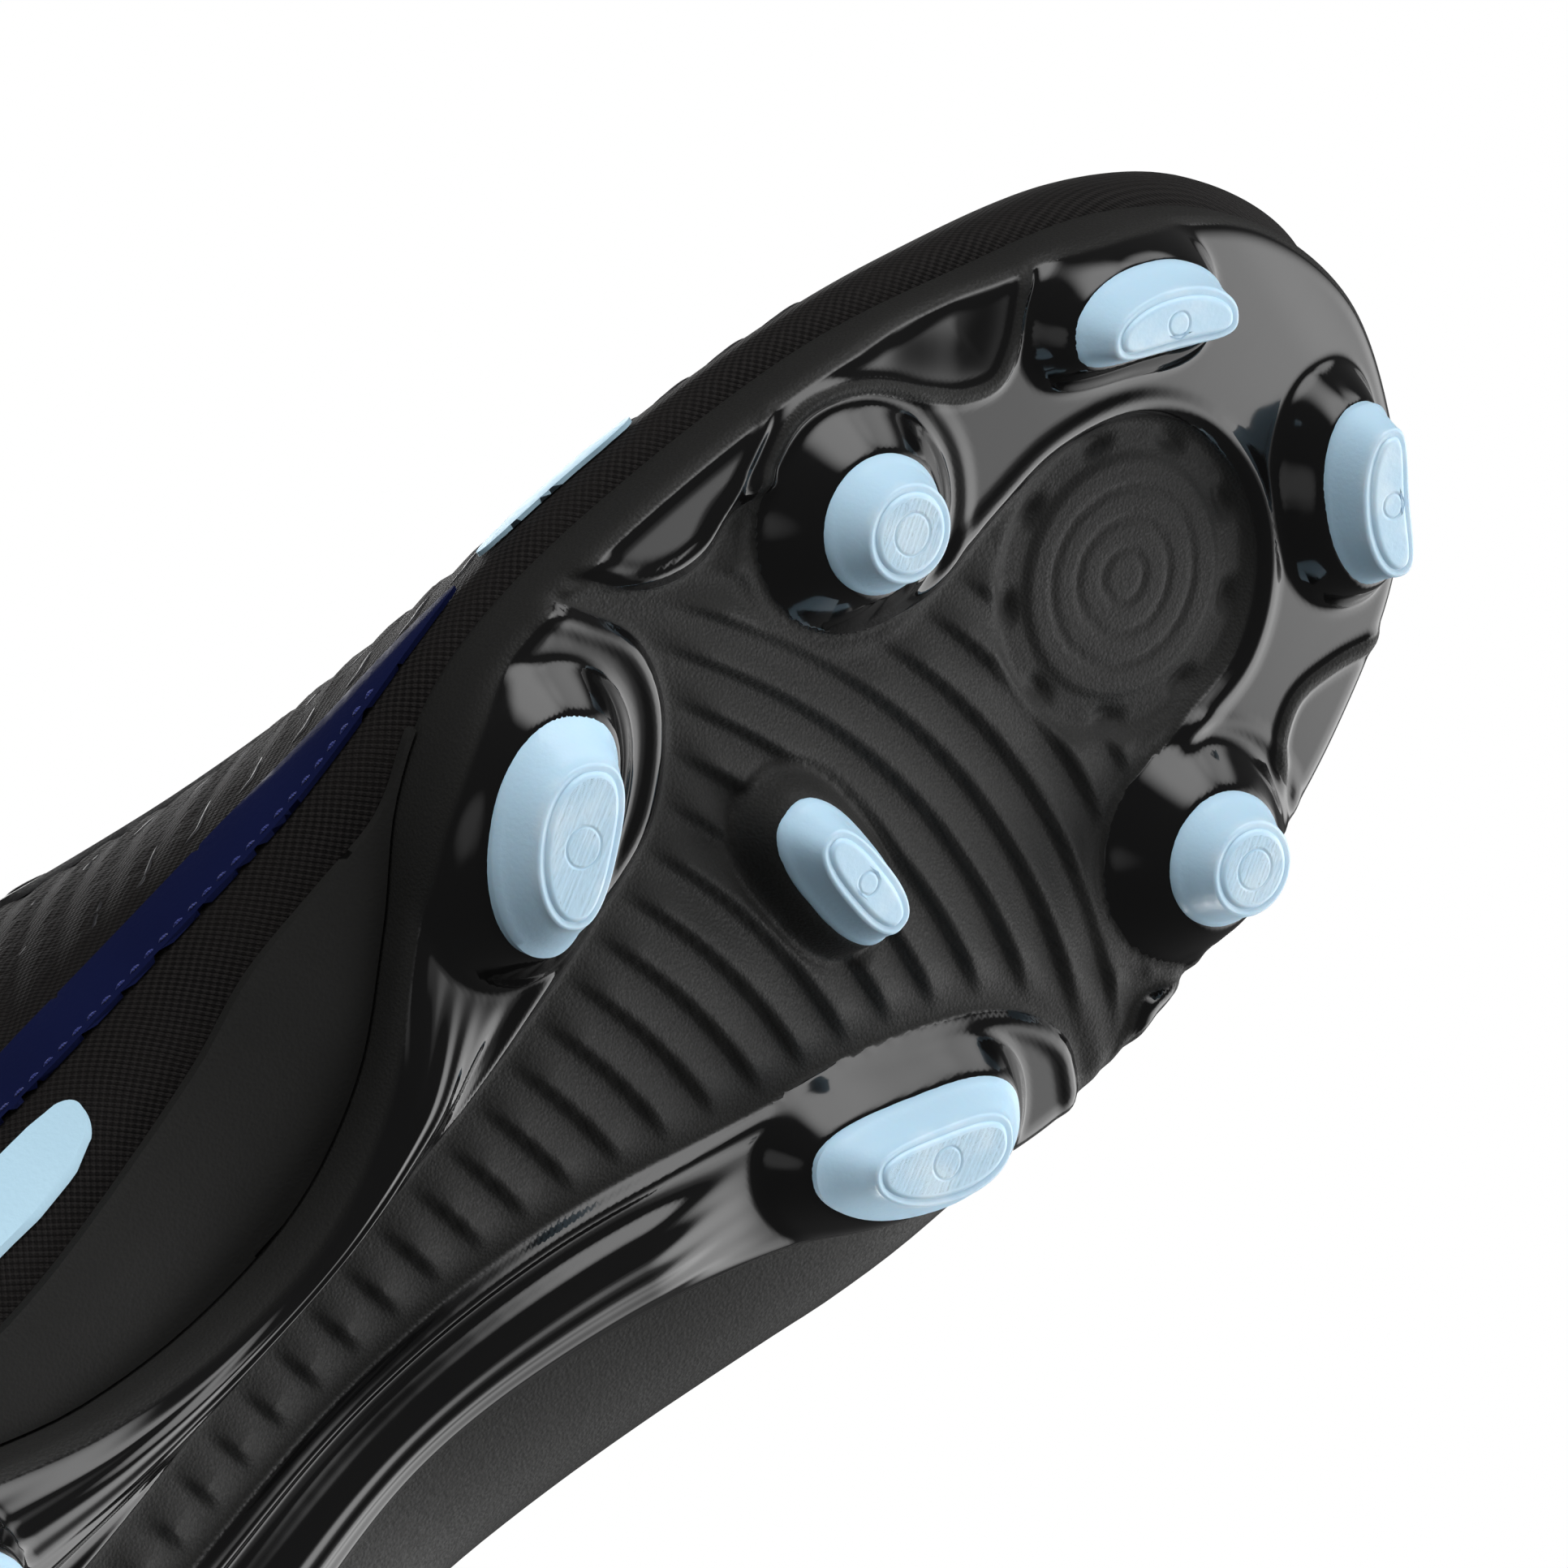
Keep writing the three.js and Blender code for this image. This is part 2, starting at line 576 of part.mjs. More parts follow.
// The eyestay runs beside the throat with the lace holes in it.
function eyestay(side) {
  const sign = side === "medial" ? -1 : 1;
  const strip = [];
  const at = (t, reach) => {
    const edge = throatEdge(t);
    return [t, ((edge.middle + sign * (edge.half + reach)) / WIDTH) * 100];
  };
  EYESTAY_STATIONS.forEach((t) => strip.push(at(t, 1.2)));
  [...EYESTAY_STATIONS].reverse().forEach((t) => strip.push(at(t, EYESTAY_WIDTH)));
  return overlay(prism(smoothOutline(strip, 48), STUD_HEIGHT + 34, COLLAR_HEIGHT * 2)).subtract(eyelets(side));
}

// The matte rand covers the feather edge between the plate's waist and the fabric, in plan.
const RAND = {
  medial: [[58, -43.6], [55, -38.8], [52, -36.8], [48, -34.2], [44, -30], [38, -26.4], [32, -25.6], [27, -28],
    [24, -29.5], [25.5, -26], [30, -10], [42, -4], [50, -12], [56, -36]],
  lateral: [[59, 48.6], [56, 46.6], [50, 44], [42, 41], [34, 38.2], [28, 36.8], [24, 34.5], [26, 31],
    [30, 20], [42, 16], [50, 20], [57, 38]],
};
const RAND_TOP = 6.5;

function randRegion(side, grow) {
  const plan = prism(insetOutline(smoothOutline(RAND[side], 40), -grow), -10, 80);
  return plan.intersect(ribbon(() => -20, (x) => upperBottom(x) + RAND_TOP + grow));
}

function rand(side) {
  const clearOfPlate = prism(insetOutline(PLATE_OUTLINE, -GAP - 0.1), -10, 60);
  return overlay(randRegion(side, 0)).subtract(clearOfPlate);
}

// The glossy band is stitched along the side, wide at the heel end and drawn out to a point.
const BAND = {
  medial: [[63, 22.6], [56.5, 28.4], [48.6, 35], [40.4, 41], [30, 46.5], [20, 50], [17, 46], [20, 42],
    [30, 38.5], [38.2, 34.5], [46.2, 29.8], [53.6, 24.2], [59, 22.2]],
  lateral: [[62, 24], [56, 29], [48.6, 35], [40.4, 41], [30, 46.5], [20, 50], [17, 46], [20, 42],
    [30, 38.5], [38.2, 34.5], [46.2, 29.8], [53.6, 25], [58, 23.4]],
};
const FILM_THICKNESS = OVERLAY_THICKNESS * 0.6;

// A film on the side stops short of the rand.
const film = (points, side) => overlay(sideCutter(points, side), FILM_THICKNESS).subtract(randRegion(side, GAP));
const band = (side) => film(BAND[side], side);

// Plain pale bars with round ends: one low on each side, one on the medial forefoot.
const BARS = {
  side_bar_medial: { side: "medial", from: [40, 28.2], to: [22, 31.6], height: 3.6 },
  side_bar_lateral: { side: "lateral", from: [40, 28.2], to: [22, 31.6], height: 3.6 },
  forefoot_bar_medial: { side: "medial", from: [71.8, 22.6], to: [65.2, 24.6], height: 3 },
};

function bar({ side, from, to, height }) {
  const end = (height / LENGTH) * COLLAR_HEIGHT * 0.5;
  return film([
    [from[0] + end, from[1]],
    [from[0], from[1] + height / 2],
    [to[0], to[1] + height / 2],
    [to[0] - end, to[1]],
    [to[0], to[1] - height / 2],
    [from[0], from[1] - height / 2],
  ], side);
}

const backstay = () => overlay(prism([[-2 * LENGTH, -9], [along(12), -9], [along(12), 9], [-2 * LENGTH, 9]],
  STUD_HEIGHT + 18, COLLAR_HEIGHT * 2).intersect(ribbon((x) => upperBottom(x) + 16, () => 300)));

// ---------- assembly ----------

const COLOURS = {
  gloss: [0x0b0b0c, 0.18],
  tip: [0xb9d9ee, 0.42],
  fabric: [0x1d1a1a, 0.85],
  rand: [0x202020, 0.62],
  navy: [0x141d45, 0.45],
  pale: [0xb7d8ec, 0.5],
  lining: [0x17171a, 0.9],
  board: [0xd8d4c8, 0.9],
  stiffener: [0x6b6b6b, 0.6],
};

function part(name, finish, solid) {
  const [color, roughness] = COLOURS[finish];
  const mesh = new THREE.Mesh(
    geometryFrom(solid), new THREE.MeshStandardMaterial({ color, roughness, metalness: 0 }));
  mesh.name = name;
  return mesh;
}

const sole = new THREE.Group();
sole.add(part("outsole_plate", "gloss", outsolePlate()));
STUDS.forEach((stud) => sole.add(part(stud.name, "tip", studTip(stud))));

const upper = new THREE.Group();
upper.add(
  part("upper_shell", "fabric", upperShell()),
  part("lasting_board", "board", lastingBoard()),
  part("sockliner", "lining", sockliner()),
  part("toe_puff", "stiffener", toePuff()),
  part("heel_counter", "stiffener", heelCounter()),
  part("collar_padding", "lining", collarPadding()),
  part("tongue", "fabric", tongue()),
  part("backstay", "rand", backstay()),
);
["medial", "lateral"].forEach((side) => upper.add(
  part(`eyestay_${side}`, "rand", eyestay(side)),
  part(`rand_${side}`, "rand", rand(side)),
  part(`side_band_${side}`, "navy", band(side)),
));
Object.entries(BARS).forEach(([name, shape]) => upper.add(part(name, "pale", bar(shape))));

// The origin is on the ground under the middle of the boot.
const boot = new THREE.Group();
boot.add(sole, upper);
const extent = new THREE.Box3().setFromObject(boot);
const centre = extent.getCenter(new THREE.Vector3());
boot.position.set(-centre.x, -centre.y, -extent.min.z);

export default boot;
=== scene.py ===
import math

import bpy
import numpy as np
from mathutils import Matrix, Vector
from mathutils.bvhtree import BVHTree

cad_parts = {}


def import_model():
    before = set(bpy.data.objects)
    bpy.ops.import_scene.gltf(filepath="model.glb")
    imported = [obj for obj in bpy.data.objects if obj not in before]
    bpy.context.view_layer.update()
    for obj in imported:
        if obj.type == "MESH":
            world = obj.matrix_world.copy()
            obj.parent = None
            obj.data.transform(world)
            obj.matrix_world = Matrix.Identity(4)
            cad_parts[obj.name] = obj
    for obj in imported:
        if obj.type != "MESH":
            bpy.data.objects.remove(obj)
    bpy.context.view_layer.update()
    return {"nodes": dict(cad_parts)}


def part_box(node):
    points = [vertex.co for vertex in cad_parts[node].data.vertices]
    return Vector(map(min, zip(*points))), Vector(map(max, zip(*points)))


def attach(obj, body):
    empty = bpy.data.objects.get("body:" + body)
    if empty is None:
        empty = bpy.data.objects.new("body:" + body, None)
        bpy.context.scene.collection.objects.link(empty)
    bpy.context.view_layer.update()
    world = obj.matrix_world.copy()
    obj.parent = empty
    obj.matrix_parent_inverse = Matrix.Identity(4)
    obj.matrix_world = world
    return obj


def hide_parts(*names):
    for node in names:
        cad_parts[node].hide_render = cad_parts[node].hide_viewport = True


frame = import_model()
BODY = "boot"
TONGUE_BODY = "tongue_flap"
MM = 0.001

# ---------- the boot's own dimensions, in millimetres, as in the CAD ----------

LENGTH = 280.0
WIDTH = 98.0
COLLAR_HEIGHT = 95.0
STUD_HEIGHT = 10.5
STUD_TIP_HEIGHT = 5.2
PLATE_THICKNESS = 3.0
PLATE_LIP = 4.0
UPPER_THICKNESS = 1.8
OVERLAY_THICKNESS = 0.9
FILM_THICKNESS = 0.54
TONGUE_THICKNESS = 4.5
SOCKLINER_THICKNESS = 3.5
THROAT_WIDTH = 30.0
GAP = 0.3
LINING = UPPER_THICKNESS + GAP


def along(percent):
    return (np.asarray(percent, float) / 100 - 0.5) * LENGTH


def across(percent):
    return np.asarray(percent, float) / 100 * WIDTH


def profile(knots):
    """A smooth curve through [station %, value] knots, flat beyond its ends."""
    t = np.array([k[0] for k in knots], float)
    v = np.array([k[1] for k in knots], float)
    slope = np.zeros(len(t))
    slope[1:-1] = (v[2:] - v[:-2]) / (t[2:] - t[:-2])

    def value(x):
        p = np.clip((np.asarray(x, float) / LENGTH + 0.5) * 100, t[0], t[-1])
        i = np.clip(np.searchsorted(t, p, side="right") - 1, 0, len(t) - 2)
        span = t[i + 1] - t[i]
        s = (p - t[i]) / span
        s2, s3 = s * s, s * s * s
        return ((2 * s3 - 3 * s2 + 1) * v[i] + (s3 - 2 * s2 + s) * span * slope[i]
                + (3 * s2 - 2 * s3) * v[i + 1] + (s3 - s2) * span * slope[i + 1])
    return value


def catmull(points, per, closed=True):
    """Centripetal Catmull-Rom curve through plane points."""
    p = np.array(points, float)
    n = len(p)
    out = []
    for i in range(n if closed else n - 1):
        if closed:
            q = [p[(i + k - 1) % n] for k in range(4)]
        else:
            q = [p[min(max(i + k - 1, 0), n - 1)] for k in range(4)]
            if i == 0:
                q[0] = 2 * q[1] - q[2]
            if i == n - 2:
                q[3] = 2 * q[2] - q[1]
        d = [max(1e-6, np.linalg.norm(q[k + 1] - q[k]) ** 0.5) for k in range(3)]
        m1 = (q[1] - q[0]) / d[0] - (q[2] - q[0]) / (d[0] + d[1]) + (q[2] - q[1]) / d[1]
        m2 = (q[2] - q[1]) / d[1] - (q[3] - q[1]) / (d[1] + d[2]) + (q[3] - q[2]) / d[2]
        m1, m2 = m1 * d[1], m2 * d[1]
        for s in np.arange(per) / per:
            s2, s3 = s * s, s ** 3
            out.append((2 * s3 - 3 * s2 + 1) * q[1] + (s3 - 2 * s2 + s) * m1
                       + (3 * s2 - 2 * s3) * q[2] + (s3 - s2) * m2)
    if not closed:
        out.append(p[-1])
    return np.array(out)


def outline_of(points, per=12):
    p = np.array(points, float)
    return catmull(np.stack([along(p[:, 0]), across(p[:, 1])], 1), per)


UPPER_OUTLINE = outline_of([
    [100, 4], [98, 24], [94.3, 36.5], [88, 44.5], [79.3, 49.8], [71.4, 51.4], [62.9, 50], [53.6, 46.8],
    [42.9, 44.6], [32.1, 42.6], [21.4, 38.3], [10.7, 33], [3.8, 23], [0.4, 11], [0, 0.5],
    [0.4, -10], [3.8, -20.5], [10.7, -30], [21.4, -33.5], [32.1, -33.5], [42.9, -37.5], [53.6, -43.2],
    [61.4, -47.8], [68.6, -48.8], [77.9, -45], [85.4, -38], [92.9, -26.8], [98, -12.5]])
PLATE_OUTLINE = outline_of([
    [99, 5], [97.7, 20], [94.6, 31.8], [88, 41], [79.3, 47.5], [71.4, 49.3], [67.1, 47.3], [61.5, 40.5],
    [55, 31], [47.9, 24.5], [41.4, 21.8], [34, 24], [26, 29], [17.9, 30], [8.6, 25], [3, 14], [1.2, 0.5],
    [3, -12], [8.6, -22.5], [17.9, -27], [26, -22.5], [33, -13.5], [39, -9.8], [44, -11], [48.5, -17.5],
    [52.5, -28.5], [56, -39], [60, -45.3], [66, -47.3], [77.9, -43], [85.4, -35.5], [92.1, -26], [97, -12]])


def edges_of(outline):
    """Medial and lateral edges of an outline at stations x."""
    low, high = outline[:, 0].argmin(), outline[:, 0].argmax()
    n = len(outline)
    one = outline[[(high + k) % n for k in range((low - high) % n + 1)]][::-1]
    two = outline[[(low + k) % n for k in range((high - low) % n + 1)]]

    def at(x):
        a = np.interp(x, one[:, 0], one[:, 1])
        b = np.interp(x, two[:, 0], two[:, 1])
        return np.minimum(a, b), np.maximum(a, b)
    return at


upper_edges = edges_of(UPPER_OUTLINE)
plate_edges = edges_of(PLATE_OUTLINE)
sole_rise = profile([
    [0, 4.5], [6, 2.6], [16, 2], [24, 2.6], [34, 4.7], [41, 5.5], [50, 3.2], [57, 0.9], [63, 0],
    [84, 0], [90, 0.7], [95, 2.3], [99.5, 5]])
plate_body = profile([[0, 1], [20, 1.1], [41, 1.4], [60, 1.05], [70, 1], [100, 0.9]])
crest = profile([
    [0, 118], [40, 118], [46, 110], [54, 94], [64, 78], [75, 67.5], [84, 60.5], [91, 53.5], [96, 45.5],
    [99, 38], [100, 35]])
widest_rise = profile([
    [0, 28], [20, 25], [38, 23], [46, 19], [54, 12], [62, 7.8], [72, 6.4], [84, 6.6], [92, 7.5],
    [96, 8.5], [100, 9]])
crown_power = profile([
    [0, 3.4], [12, 3], [28, 2.1], [38, 1.92], [46, 1.5], [54, 1.33], [62, 1.26], [72, 1.25],
    [82, 1.34], [90, 1.55], [95, 1.85], [100, 2.2]])
crown_shift = profile([
    [0, 0], [30, 0], [50, -2.5], [65, -3.5], [80, -3], [92, -1], [100, 0]])
top_line = profile([
    [0, 101], [4, 100.5], [9, 96], [16, 88], [23, 84], [30, 85.5], [37, 93], [43, 104.5], [47, 109]])
FEATHER_POWER = 3.6
TOE_ROUNDING = 12
HEEL_ROUNDING = 9
HEEL_LEAN = 9


def plate_underside(x):
    return STUD_HEIGHT + sole_rise(x)


def upper_bottom(x):
    return plate_underside(x) + PLATE_THICKNESS * plate_body(x)


def height_of(percent):
    return np.asarray(percent, float) / 100 * COLLAR_HEIGHT


def percent_at(x):
    return (np.asarray(x, float) / LENGTH + 0.5) * 100


def signed_power(value, power):
    return np.sign(value) * np.abs(value) ** power


def closing(x, end, depth):
    past = np.maximum(0, end * x - (LENGTH / 2 - depth)) / depth
    return np.sqrt(np.maximum(0.002, 1 - past * past))


def widest_line(x):
    return upper_bottom(x) + widest_rise(x)


def belly(x):
    """Depth of the last below its widest line, rounded off at the toe and the heel."""
    return (widest_line(x) - upper_bottom(x)) * closing(x, 1, TOE_ROUNDING) * closing(x, -1, HEEL_ROUNDING)


def crown(x):
    """Height of the last above its widest line, rounded off at the toe."""
    return (height_of(crest(x)) - widest_line(x)) * closing(x, 1, TOE_ROUNDING)


def breadth(x, grow):
    """Middle and half width of the last's section."""
    medial, lateral = upper_edges(x)
    return (lateral + medial) / 2, np.maximum(0.4, (lateral - medial) / 2 + grow)


def last_grid(x_nominal, count, grow):
    """Sections of the last, grown by `grow`: stations by points, counterclockwise from below."""
    x0 = np.asarray(x_nominal, float)[:, None]
    angle = np.arange(count) / count * 2 * np.pi - np.pi / 2
    x = x0 * (1 + grow / (LENGTH / 2))
    middle, half = breadth(x0, grow)
    low = np.sin(angle) < 0
    power = np.where(low, 2 / FEATHER_POWER, 2 / crown_power(x0))
    spread = signed_power(np.cos(angle) + 0 * x0, power)
    lift = signed_power(np.sin(angle) + 0 * x0, power)
    up = np.where(lift > 0, lift * lift, 0)
    shift = crown_shift(x0) * up
    lean = HEEL_LEAN * up * (1 - np.minimum(1, percent_at(x0) / 30))
    reach = np.where(lift < 0, belly(x0) + grow, crown(x0) + grow)
    return np.stack([x + lean, middle + shift + half * spread, widest_line(x0) + reach * lift], 2)


def stations(count):
    return -np.cos(np.arange(count + 1) / count * np.pi) * (LENGTH / 2) * 0.9995


# ---------- from the source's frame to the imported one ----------

def packed_shift():
    """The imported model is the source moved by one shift, read here from a stud."""
    low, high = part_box("stud_round_medial")
    centre = [(low[k] + high[k]) / 2 / MM for k in (0, 1)]
    return np.array([centre[0] - along(75.9), centre[1] - across(-27), 0.0])


SHIFT = packed_shift()


def placed(points):
    return (np.asarray(points, float) + SHIFT) * MM


def mesh_object(name, points, faces, smooth=True, attributes=None, uv=None):
    """An object from points in source millimetres, faces, and values per point."""
    mesh = bpy.data.meshes.new(name)
    mesh.from_pydata(placed(points).tolist(), [], faces)
    mesh.update()
    if smooth:
        mesh.polygons.foreach_set("use_smooth", np.ones(len(mesh.polygons), bool))
    for key, values in (attributes or {}).items():
        layer = mesh.attributes.new(key, "FLOAT", "POINT")
        layer.data.foreach_set("value", np.asarray(values, np.float32))
    if uv is not None:
        layer = mesh.uv_layers.new(name="cloth")
        loop = np.empty(len(mesh.loops), np.int32)
        mesh.loops.foreach_get("vertex_index", loop)
        layer.data.foreach_set("uv", np.asarray(uv, np.float32)[loop].ravel())
    obj = bpy.data.objects.new(name, mesh)
    bpy.context.scene.collection.objects.link(obj)
    return obj


def ring_faces(rows, count, start=0, flip=False):
    """Quads between `rows` closed rings of `count` points, with both ends closed."""
    i, j = np.meshgrid(np.arange(rows - 1), np.arange(count), indexing="ij")
    a = start + i * count + j
    b = start + i * count + (j + 1) % count
    faces = np.stack([a, b, b + count, a + count], 2).reshape(-1, 4).tolist()
    last = start + (rows - 1) * count
    faces += [list(range(start, start + count))[::-1], list(range(last, last + count))]
    return [f[::-1] for f in faces] if flip else faces


def grid_quads(rows, columns):
    i, j = np.meshgrid(np.arange(rows - 1), np.arange(columns - 1), indexing="ij")
    a = (i * columns + j).ravel()
    return np.stack([a, a + 1, a + columns + 1, a + columns], 1)


def grid_edge(rows, columns):
    """Indices once round the outside of a grid of points."""
    edge = list(range(columns)) + [k * columns + columns - 1 for k in range(1, rows)]
    edge += [(rows - 1) * columns + k for k in range(columns - 2, -1, -1)]
    return edge + [k * columns for k in range(rows - 2, 0, -1)]


def finish_piece(obj, material, replaced=(), body=BODY):
    obj.data.materials.clear()
    obj.data.materials.append(material)
    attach(obj, body)
    if replaced:
        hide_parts(*replaced)
    return obj


# ---------- materials ----------

class Nodes:
    """A few words for building node trees, in a new material or in a given tree."""

    def __init__(self, name, tree=None):
        self.tree = tree
        if tree is None:
            self.material = bpy.data.materials.new(name)
            self.material.use_nodes = True
            self.tree = self.material.node_tree
            self.shader = self.tree.nodes["Principled BSDF"]

    def add(self, kind, **settings):
        node = self.tree.nodes.new(kind)
        for key, value in settings.items():
            if key.startswith("in_"):
                node.inputs[key[3:]].default_value = value
            else:
                setattr(node, key, value)
        return node

    def link(self, a, b):
        self.tree.links.new(a, b)

    def put(self, socket, value):
        if hasattr(value, "is_output"):
            self.link(value, socket)
        else:
            socket.default_value = value

    def math(self, operation, a, b):
        node = self.add("ShaderNodeMath", operation=operation)
        self.put(node.inputs[0], a)
        self.put(node.inputs[1], b)
        return node.outputs[0]

    def ramp(self, value, low, high, to_low=0.0, to_high=1.0):
        node = self.add("ShaderNodeMapRange", interpolation_type="SMOOTHSTEP")
        self.put(node.inputs[0], value)
        for k, number in enumerate((low, high, to_low, to_high)):
            self.put(node.inputs[1 + k], number)
        return node.outputs[0]

    def mix(self, share, one, two, kind="RGBA"):
        node = self.add("ShaderNodeMix", data_type=kind)
        first, result = {"FLOAT": (2, 0), "RGBA": (6, 2)}[kind]
        self.put(node.inputs[0], share)
        self.put(node.inputs[first], one)
        self.put(node.inputs[first + 1], two)
        return node.outputs[result]

    def attribute(self, name):
        return self.add("ShaderNodeAttribute", attribute_name=name).outputs["Fac"]

    def place(self, scale=(1, 1, 1)):
        where = self.add("ShaderNodeTexCoord").outputs["Object"]
        mapping = self.add("ShaderNodeMapping")
        mapping.inputs["Scale"].default_value = scale
        self.link(where, mapping.inputs[0])
        return mapping.outputs[0]

    def noise(self, scale, detail, where=None):
        node = self.add("ShaderNodeTexNoise", in_Scale=scale, in_Detail=detail)
        self.link(where or self.place(), node.inputs["Vector"])
        return node.outputs["Fac"]

    def cells(self, scale):
        node = self.add("ShaderNodeTexVoronoi", in_Scale=scale)
        self.link(self.place(), node.inputs["Vector"])
        return node.outputs["Distance"]

    def bump(self, height, distance, strength):
        node = self.add("ShaderNodeBump", in_Strength=strength, in_Distance=distance)
        self.put(node.inputs["Height"], height)
        return node.outputs[0]

    def axes(self, vector):
        parts = self.add("ShaderNodeSeparateXYZ")
        self.link(vector, parts.inputs[0])
        return parts.outputs

    def finish(self, color, roughness, normal=None, **settings):
        for name, value in (("Base Color", color), ("Roughness", roughness), ("Normal", normal)):
            if value is not None:
                self.put(self.shader.inputs[name], value)
        for name, value in settings.items():
            self.shader.inputs[name.replace("_", " ")].default_value = value
        return self.material


def plate_material():
    n = Nodes("plate_black")
    gloss = n.ramp(n.attribute("gloss"), -0.25, 0.25)
    grain = n.cells(2600)
    fine = n.noise(3600, 3)
    scuff = n.noise(55, 4)
    streak = n.noise(420, 3, n.place((0.25, 1, 1)))
    matte_color = n.mix(scuff, (0.0105, 0.0105, 0.0102, 1), (0.0165, 0.0163, 0.0155, 1))
    gloss_color = n.mix(scuff, (0.0035, 0.0035, 0.0038, 1), (0.0052, 0.0051, 0.005, 1))
    color = n.mix(gloss, matte_color, gloss_color)
    rough = n.mix(gloss, n.ramp(fine, 0.3, 0.7, 0.5, 0.66), n.ramp(streak, 0.35, 0.75, 0.055, 0.13), "FLOAT")
    n.put(n.shader.inputs["Specular IOR Level"], n.ramp(gloss, 0, 1, 0.24, 0.5))
    matte = n.math("SUBTRACT", 1.0, gloss)
    height = n.math("MULTIPLY", n.math("ADD", grain, n.math("MULTIPLY", fine, 0.8)), matte)
    normal = n.bump(height, 0.00010, 0.45)
    return n.finish(color, rough, normal)


def tip_material():
    n = Nodes("tip_blue")
    cloud = n.noise(160, 4)
    ground = n.ramp(n.attribute("face"), 0.2, 0.9)
    frost = n.math("MULTIPLY", n.ramp(cloud, 0.42, 0.66), ground)
    color = n.mix(frost, (0.45, 0.645, 0.79, 1), (0.56, 0.72, 0.83, 1))
    rough = n.ramp(n.noise(900, 3), 0.3, 0.7, 0.30, 0.42)
    normal = n.bump(n.noise(1800, 2), 0.00008, 0.35)
    return n.finish(color, rough, normal, Subsurface_Weight=0.12, Subsurface_Scale=0.002)


def crossed_waves(n, one, two, pitch, limit):
    """Dots where two waves of the same pitch cross."""
    one, two = (n.math("SINE", n.math("MULTIPLY", value, 2 * math.pi / pitch), 0.0) for value in (one, two))
    return n.ramp(n.math("MULTIPLY", one, two), -limit, limit)


def cloth(n, pitch):
    """Plain weave from the piece's own cloth coordinates, which are in millimetres."""
    along_warp = n.axes(n.add("ShaderNodeUVMap", uv_map="cloth").outputs[0])
    return crossed_waves(n, along_warp[0], along_warp[1], pitch, 0.8)


def fabric_material():
    n = Nodes("woven_upper")
    dots, fine = cloth(n, 0.95), cloth(n, 0.42)
    soft = n.noise(90, 3)
    color = n.mix(dots, (0.0035, 0.0031, 0.0031, 1), (0.0125, 0.0112, 0.0108, 1))
    shade = n.mix(n.ramp(soft, 0.3, 0.7), color, n.mix(0.5, color, (0.0095, 0.0084, 0.008, 1)))
    rough = n.ramp(dots, 0, 1, 0.85, 0.68)
    marks = n.attribute("mark")
    lined = n.mix(n.ramp(marks, 0.35, 0.9), shade, (0.030, 0.029, 0.029, 1))
    height = n.math("ADD", dots, n.math("MULTIPLY", fine, 0.35))
    normal = n.bump(height, 0.00013, 0.7)
    return n.finish(lined, rough, normal, Sheen_Weight=0.02, Sheen_Roughness=0.5, Specular_IOR_Level=0.12)


def leather_material(name, low, high):
    n = Nodes(name)
    wrinkle = n.noise(2900, 3)
    height = n.math("ADD", n.cells(2300), n.math("MULTIPLY", wrinkle, 0.9))
    return n.finish(n.mix(n.noise(60, 3), low, high), n.ramp(wrinkle, 0.3, 0.7, 0.44, 0.6),
                    n.bump(height, 0.00007, 0.35), Specular_IOR_Level=0.2)


def film_material(name, low, high, rough_low, rough_high, specular=0.3):
    n = Nodes(name)
    height = n.math("ADD", n.noise(1700, 2), n.math("MULTIPLY", n.noise(260, 2), 0.8))
    rough = n.ramp(n.noise(800, 3), 0.3, 0.7, rough_low, rough_high)
    return n.finish(n.mix(n.noise(70, 3), low, high), rough,
                    n.bump(height, 0.00008, 0.4), Specular_IOR_Level=specular)


def knit_material(name, low, high, pitch=0.0011):
    """Fine knit in three directions of the piece, for the lining, the tongue and the sockliner."""
    n = Nodes(name)
    x, y, z = n.axes(n.add("ShaderNodeTexCoord").outputs["Object"])
    loops = crossed_waves(n, n.math("ADD", x, y), n.math("ADD", z, n.math("SUBTRACT", x, y)), pitch, 0.7)
    fuzz = n.noise(120, 4)
    color = n.mix(loops, low, high)
    color = n.mix(n.ramp(fuzz, 0.35, 0.7), color, n.mix(0.35, color, high))
    rough = n.ramp(loops, 0, 1, 0.9, 0.72)
    return n.finish(color, rough, n.bump(n.math("ADD", loops, fuzz), 0.0002, 0.6),
                    Sheen_Weight=0.25, Sheen_Roughness=0.45)


# ---------- distances in plan ----------

def polyline_distance(px, py, line, closed=False):
    """Distance from points to a polyline."""
    line = np.asarray(line, float)
    if closed:
        line = np.vstack([line, line[:1]])
    best = np.full(px.shape, 1e9)
    for (x0, y0), (x1, y1) in zip(line[:-1], line[1:]):
        dx, dy = x1 - x0, y1 - y0
        length = dx * dx + dy * dy
        if length < 1e-12:
            continue
        s = np.clip(((px - x0) * dx + (py - y0) * dy) / length, 0, 1)
        best = np.minimum(best, (px - x0 - s * dx) ** 2 + (py - y0 - s * dy) ** 2)
    return np.sqrt(best)


def inside(px, py, ring):
    result = np.zeros(px.shape, bool)
    for (x0, y0), (x1, y1) in zip(ring, np.roll(ring, -1, 0)):
        if y0 != y1:
            result ^= ((y0 > py) != (y1 > py)) & (px < (x1 - x0) * (py - y0) / (y1 - y0) + x0)
    return result


def signed_distance(px, py, ring):
    """Negative inside a closed ring."""
    away = polyline_distance(px, py, ring, closed=True)
    return np.where(inside(px, py, ring), -away, away)


def smooth(value, low, high):
    s = np.clip((value - low) / (high - low), 0, 1)
    return s * s * (3 - 2 * s)


